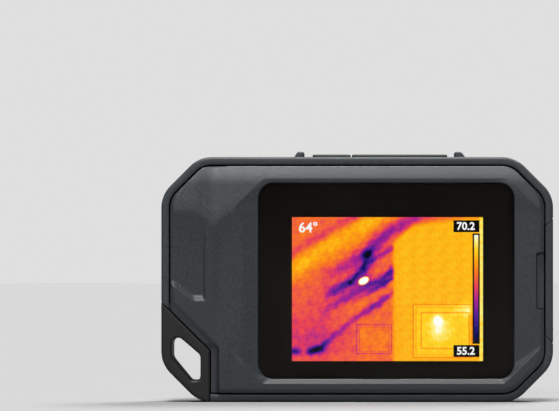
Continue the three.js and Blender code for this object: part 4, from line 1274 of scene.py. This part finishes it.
def build_torch():
    """The torch's white bezel and its domed lens."""
    bezel = turned("torch_rim", [
        (1.75, 8.5), (2.6, 8.5), (2.6, 10.4), (2.52, 10.6), (2.3, 10.7), (2.0, 10.7), (1.82, 10.6),
        (1.75, 10.4),
    ], TORCH_X, TORCH_Z)
    finish(bezel, white_plastic, nodes=["torch_bezel"])
    lens = knob("torch_front", dome(1.65, 6.8, 10, 10.4), TORCH_X, TORCH_Z)
    finish(lens, torch_glass, nodes=["torch_lens"])


# ---- pieces that keep their CAD shape

CAD_FINISHES = {
    hard_plastic: ["lens_side_shell", "shutter_housing", "camera_module", "memory_chip"],
    silicone: [
        "housing_seal", "glass_gasket", "key_membrane", "thermal_pad", "battery_pad", "ir_lens_o_ring",
    ],
    bare_metal: [
        *(f"case_screw_{k}" for k in (1, 2, 3, 4)), *(f"board_screw_{k}" for k in (1, 2, 3)), "loop_screw_1",
        "loop_screw_2", "usb_socket", "power_switch", "save_switch", "display_frame", "processor_shield",
        "camera_bracket", "shutter_blade", "shutter_motor", "ir_sensor_core",
    ],
    circuit_board: ["key_board", "main_board", "sensor_board", "torch_board"],
    flex_film: ["key_flex", "lcd_flex", "touch_flex", "battery_lead", "camera_flex"],
    white_plastic: ["lcd_backlight", "battery_connector"],
    battery_wrap: ["battery"],
    torch_glass: ["torch_led"],
}


def finish_cad_nodes():
    """Gives the CAD pieces that stay their materials."""
    for material, names in CAD_FINISHES.items():
        for name in names:
            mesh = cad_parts[name].data
            mesh.materials.clear()
            mesh.materials.append(material)


# ---- studio

AMBIENT = 0.11                   # strength of the world's light on the object
BACKDROP = 0.74                  # and its strength as the camera sees it
LAMPS = [
    # name, the direction it shines from, strength, and spread in degrees
    ("key_light", (-0.06, -0.28, 0.95), 6.5, 18),
    ("front_light", (-0.1, -0.87, 0.48), 1.35, 15),
    ("back_light", (0.35, 0.5, 0.9), 4.4, 26),
]


def build_studio():
    """A plain pale floor, an even pale world and three soft lamps."""
    floor_finish = surface("floor", grey(120), grey(122), 0.95, grain=1.0, depth=0.002, cloud=60, scuff_and_sheen=0.0,
                           fleck=0.01)
    half = 40
    floor_corners = [(-half, -half, 0), (half, -half, 0), (half, half, 0), (-half, half, 0)]
    floor = mesh_object("floor", floor_corners, [(0, 1, 2, 3)])
    floor.data.materials.append(floor_finish)
    world = bpy.data.worlds.new("studio")
    bpy.context.scene.world = world
    world.use_nodes = True
    tree = world.node_tree
    seen = add_node(tree, "LightPath").outputs["Is Camera Ray"]
    background = tree.nodes["Background"]
    background.inputs["Color"].default_value = (1, 1, 1, 1)
    tree.links.new(ramp(tree, seen, 0, 1, AMBIENT, BACKDROP), background.inputs["Strength"])
    for name, direction, strength, spread in LAMPS:
        data = bpy.data.lights.new(name, "SUN")
        data.energy = strength
        data.angle = math.radians(spread)
        lamp = new_object(name, data)
        lamp.rotation_euler = mathutils.Vector(direction).to_track_quat("Z", "Y").to_euler()


def build_camera():
    """A camera square to the screen, far off, with a shift that sets the object at the lower right."""
    distance = 1.2
    width = 0.178                # of the picture, at the screen-side face
    data = bpy.data.cameras.new("camera")
    data.sensor_width = 36
    data.lens = data.sensor_width * distance / width
    data.shift_x = -0.139
    data.shift_y = 0.133
    camera = new_object("camera", data)
    camera.location = (0, -distance - FACE * MM, 0.039)
    camera.rotation_euler = (math.pi / 2, 0, 0)
    bpy.context.scene.camera = camera


finish_cad_nodes()
build_grip()
build_screen_shell()
build_glass()
build_picture()
build_readouts()
build_loop()
build_flap()
build_flap_strap()
build_key("power_button", power_low, power_high)
build_key("save_button", save_low, save_high)
build_lens_plate()
build_lens_ring()
build_bridge()
build_lenses()
build_torch()
build_studio()
build_camera()
bpy.context.scene.view_settings.view_transform = "Standard"
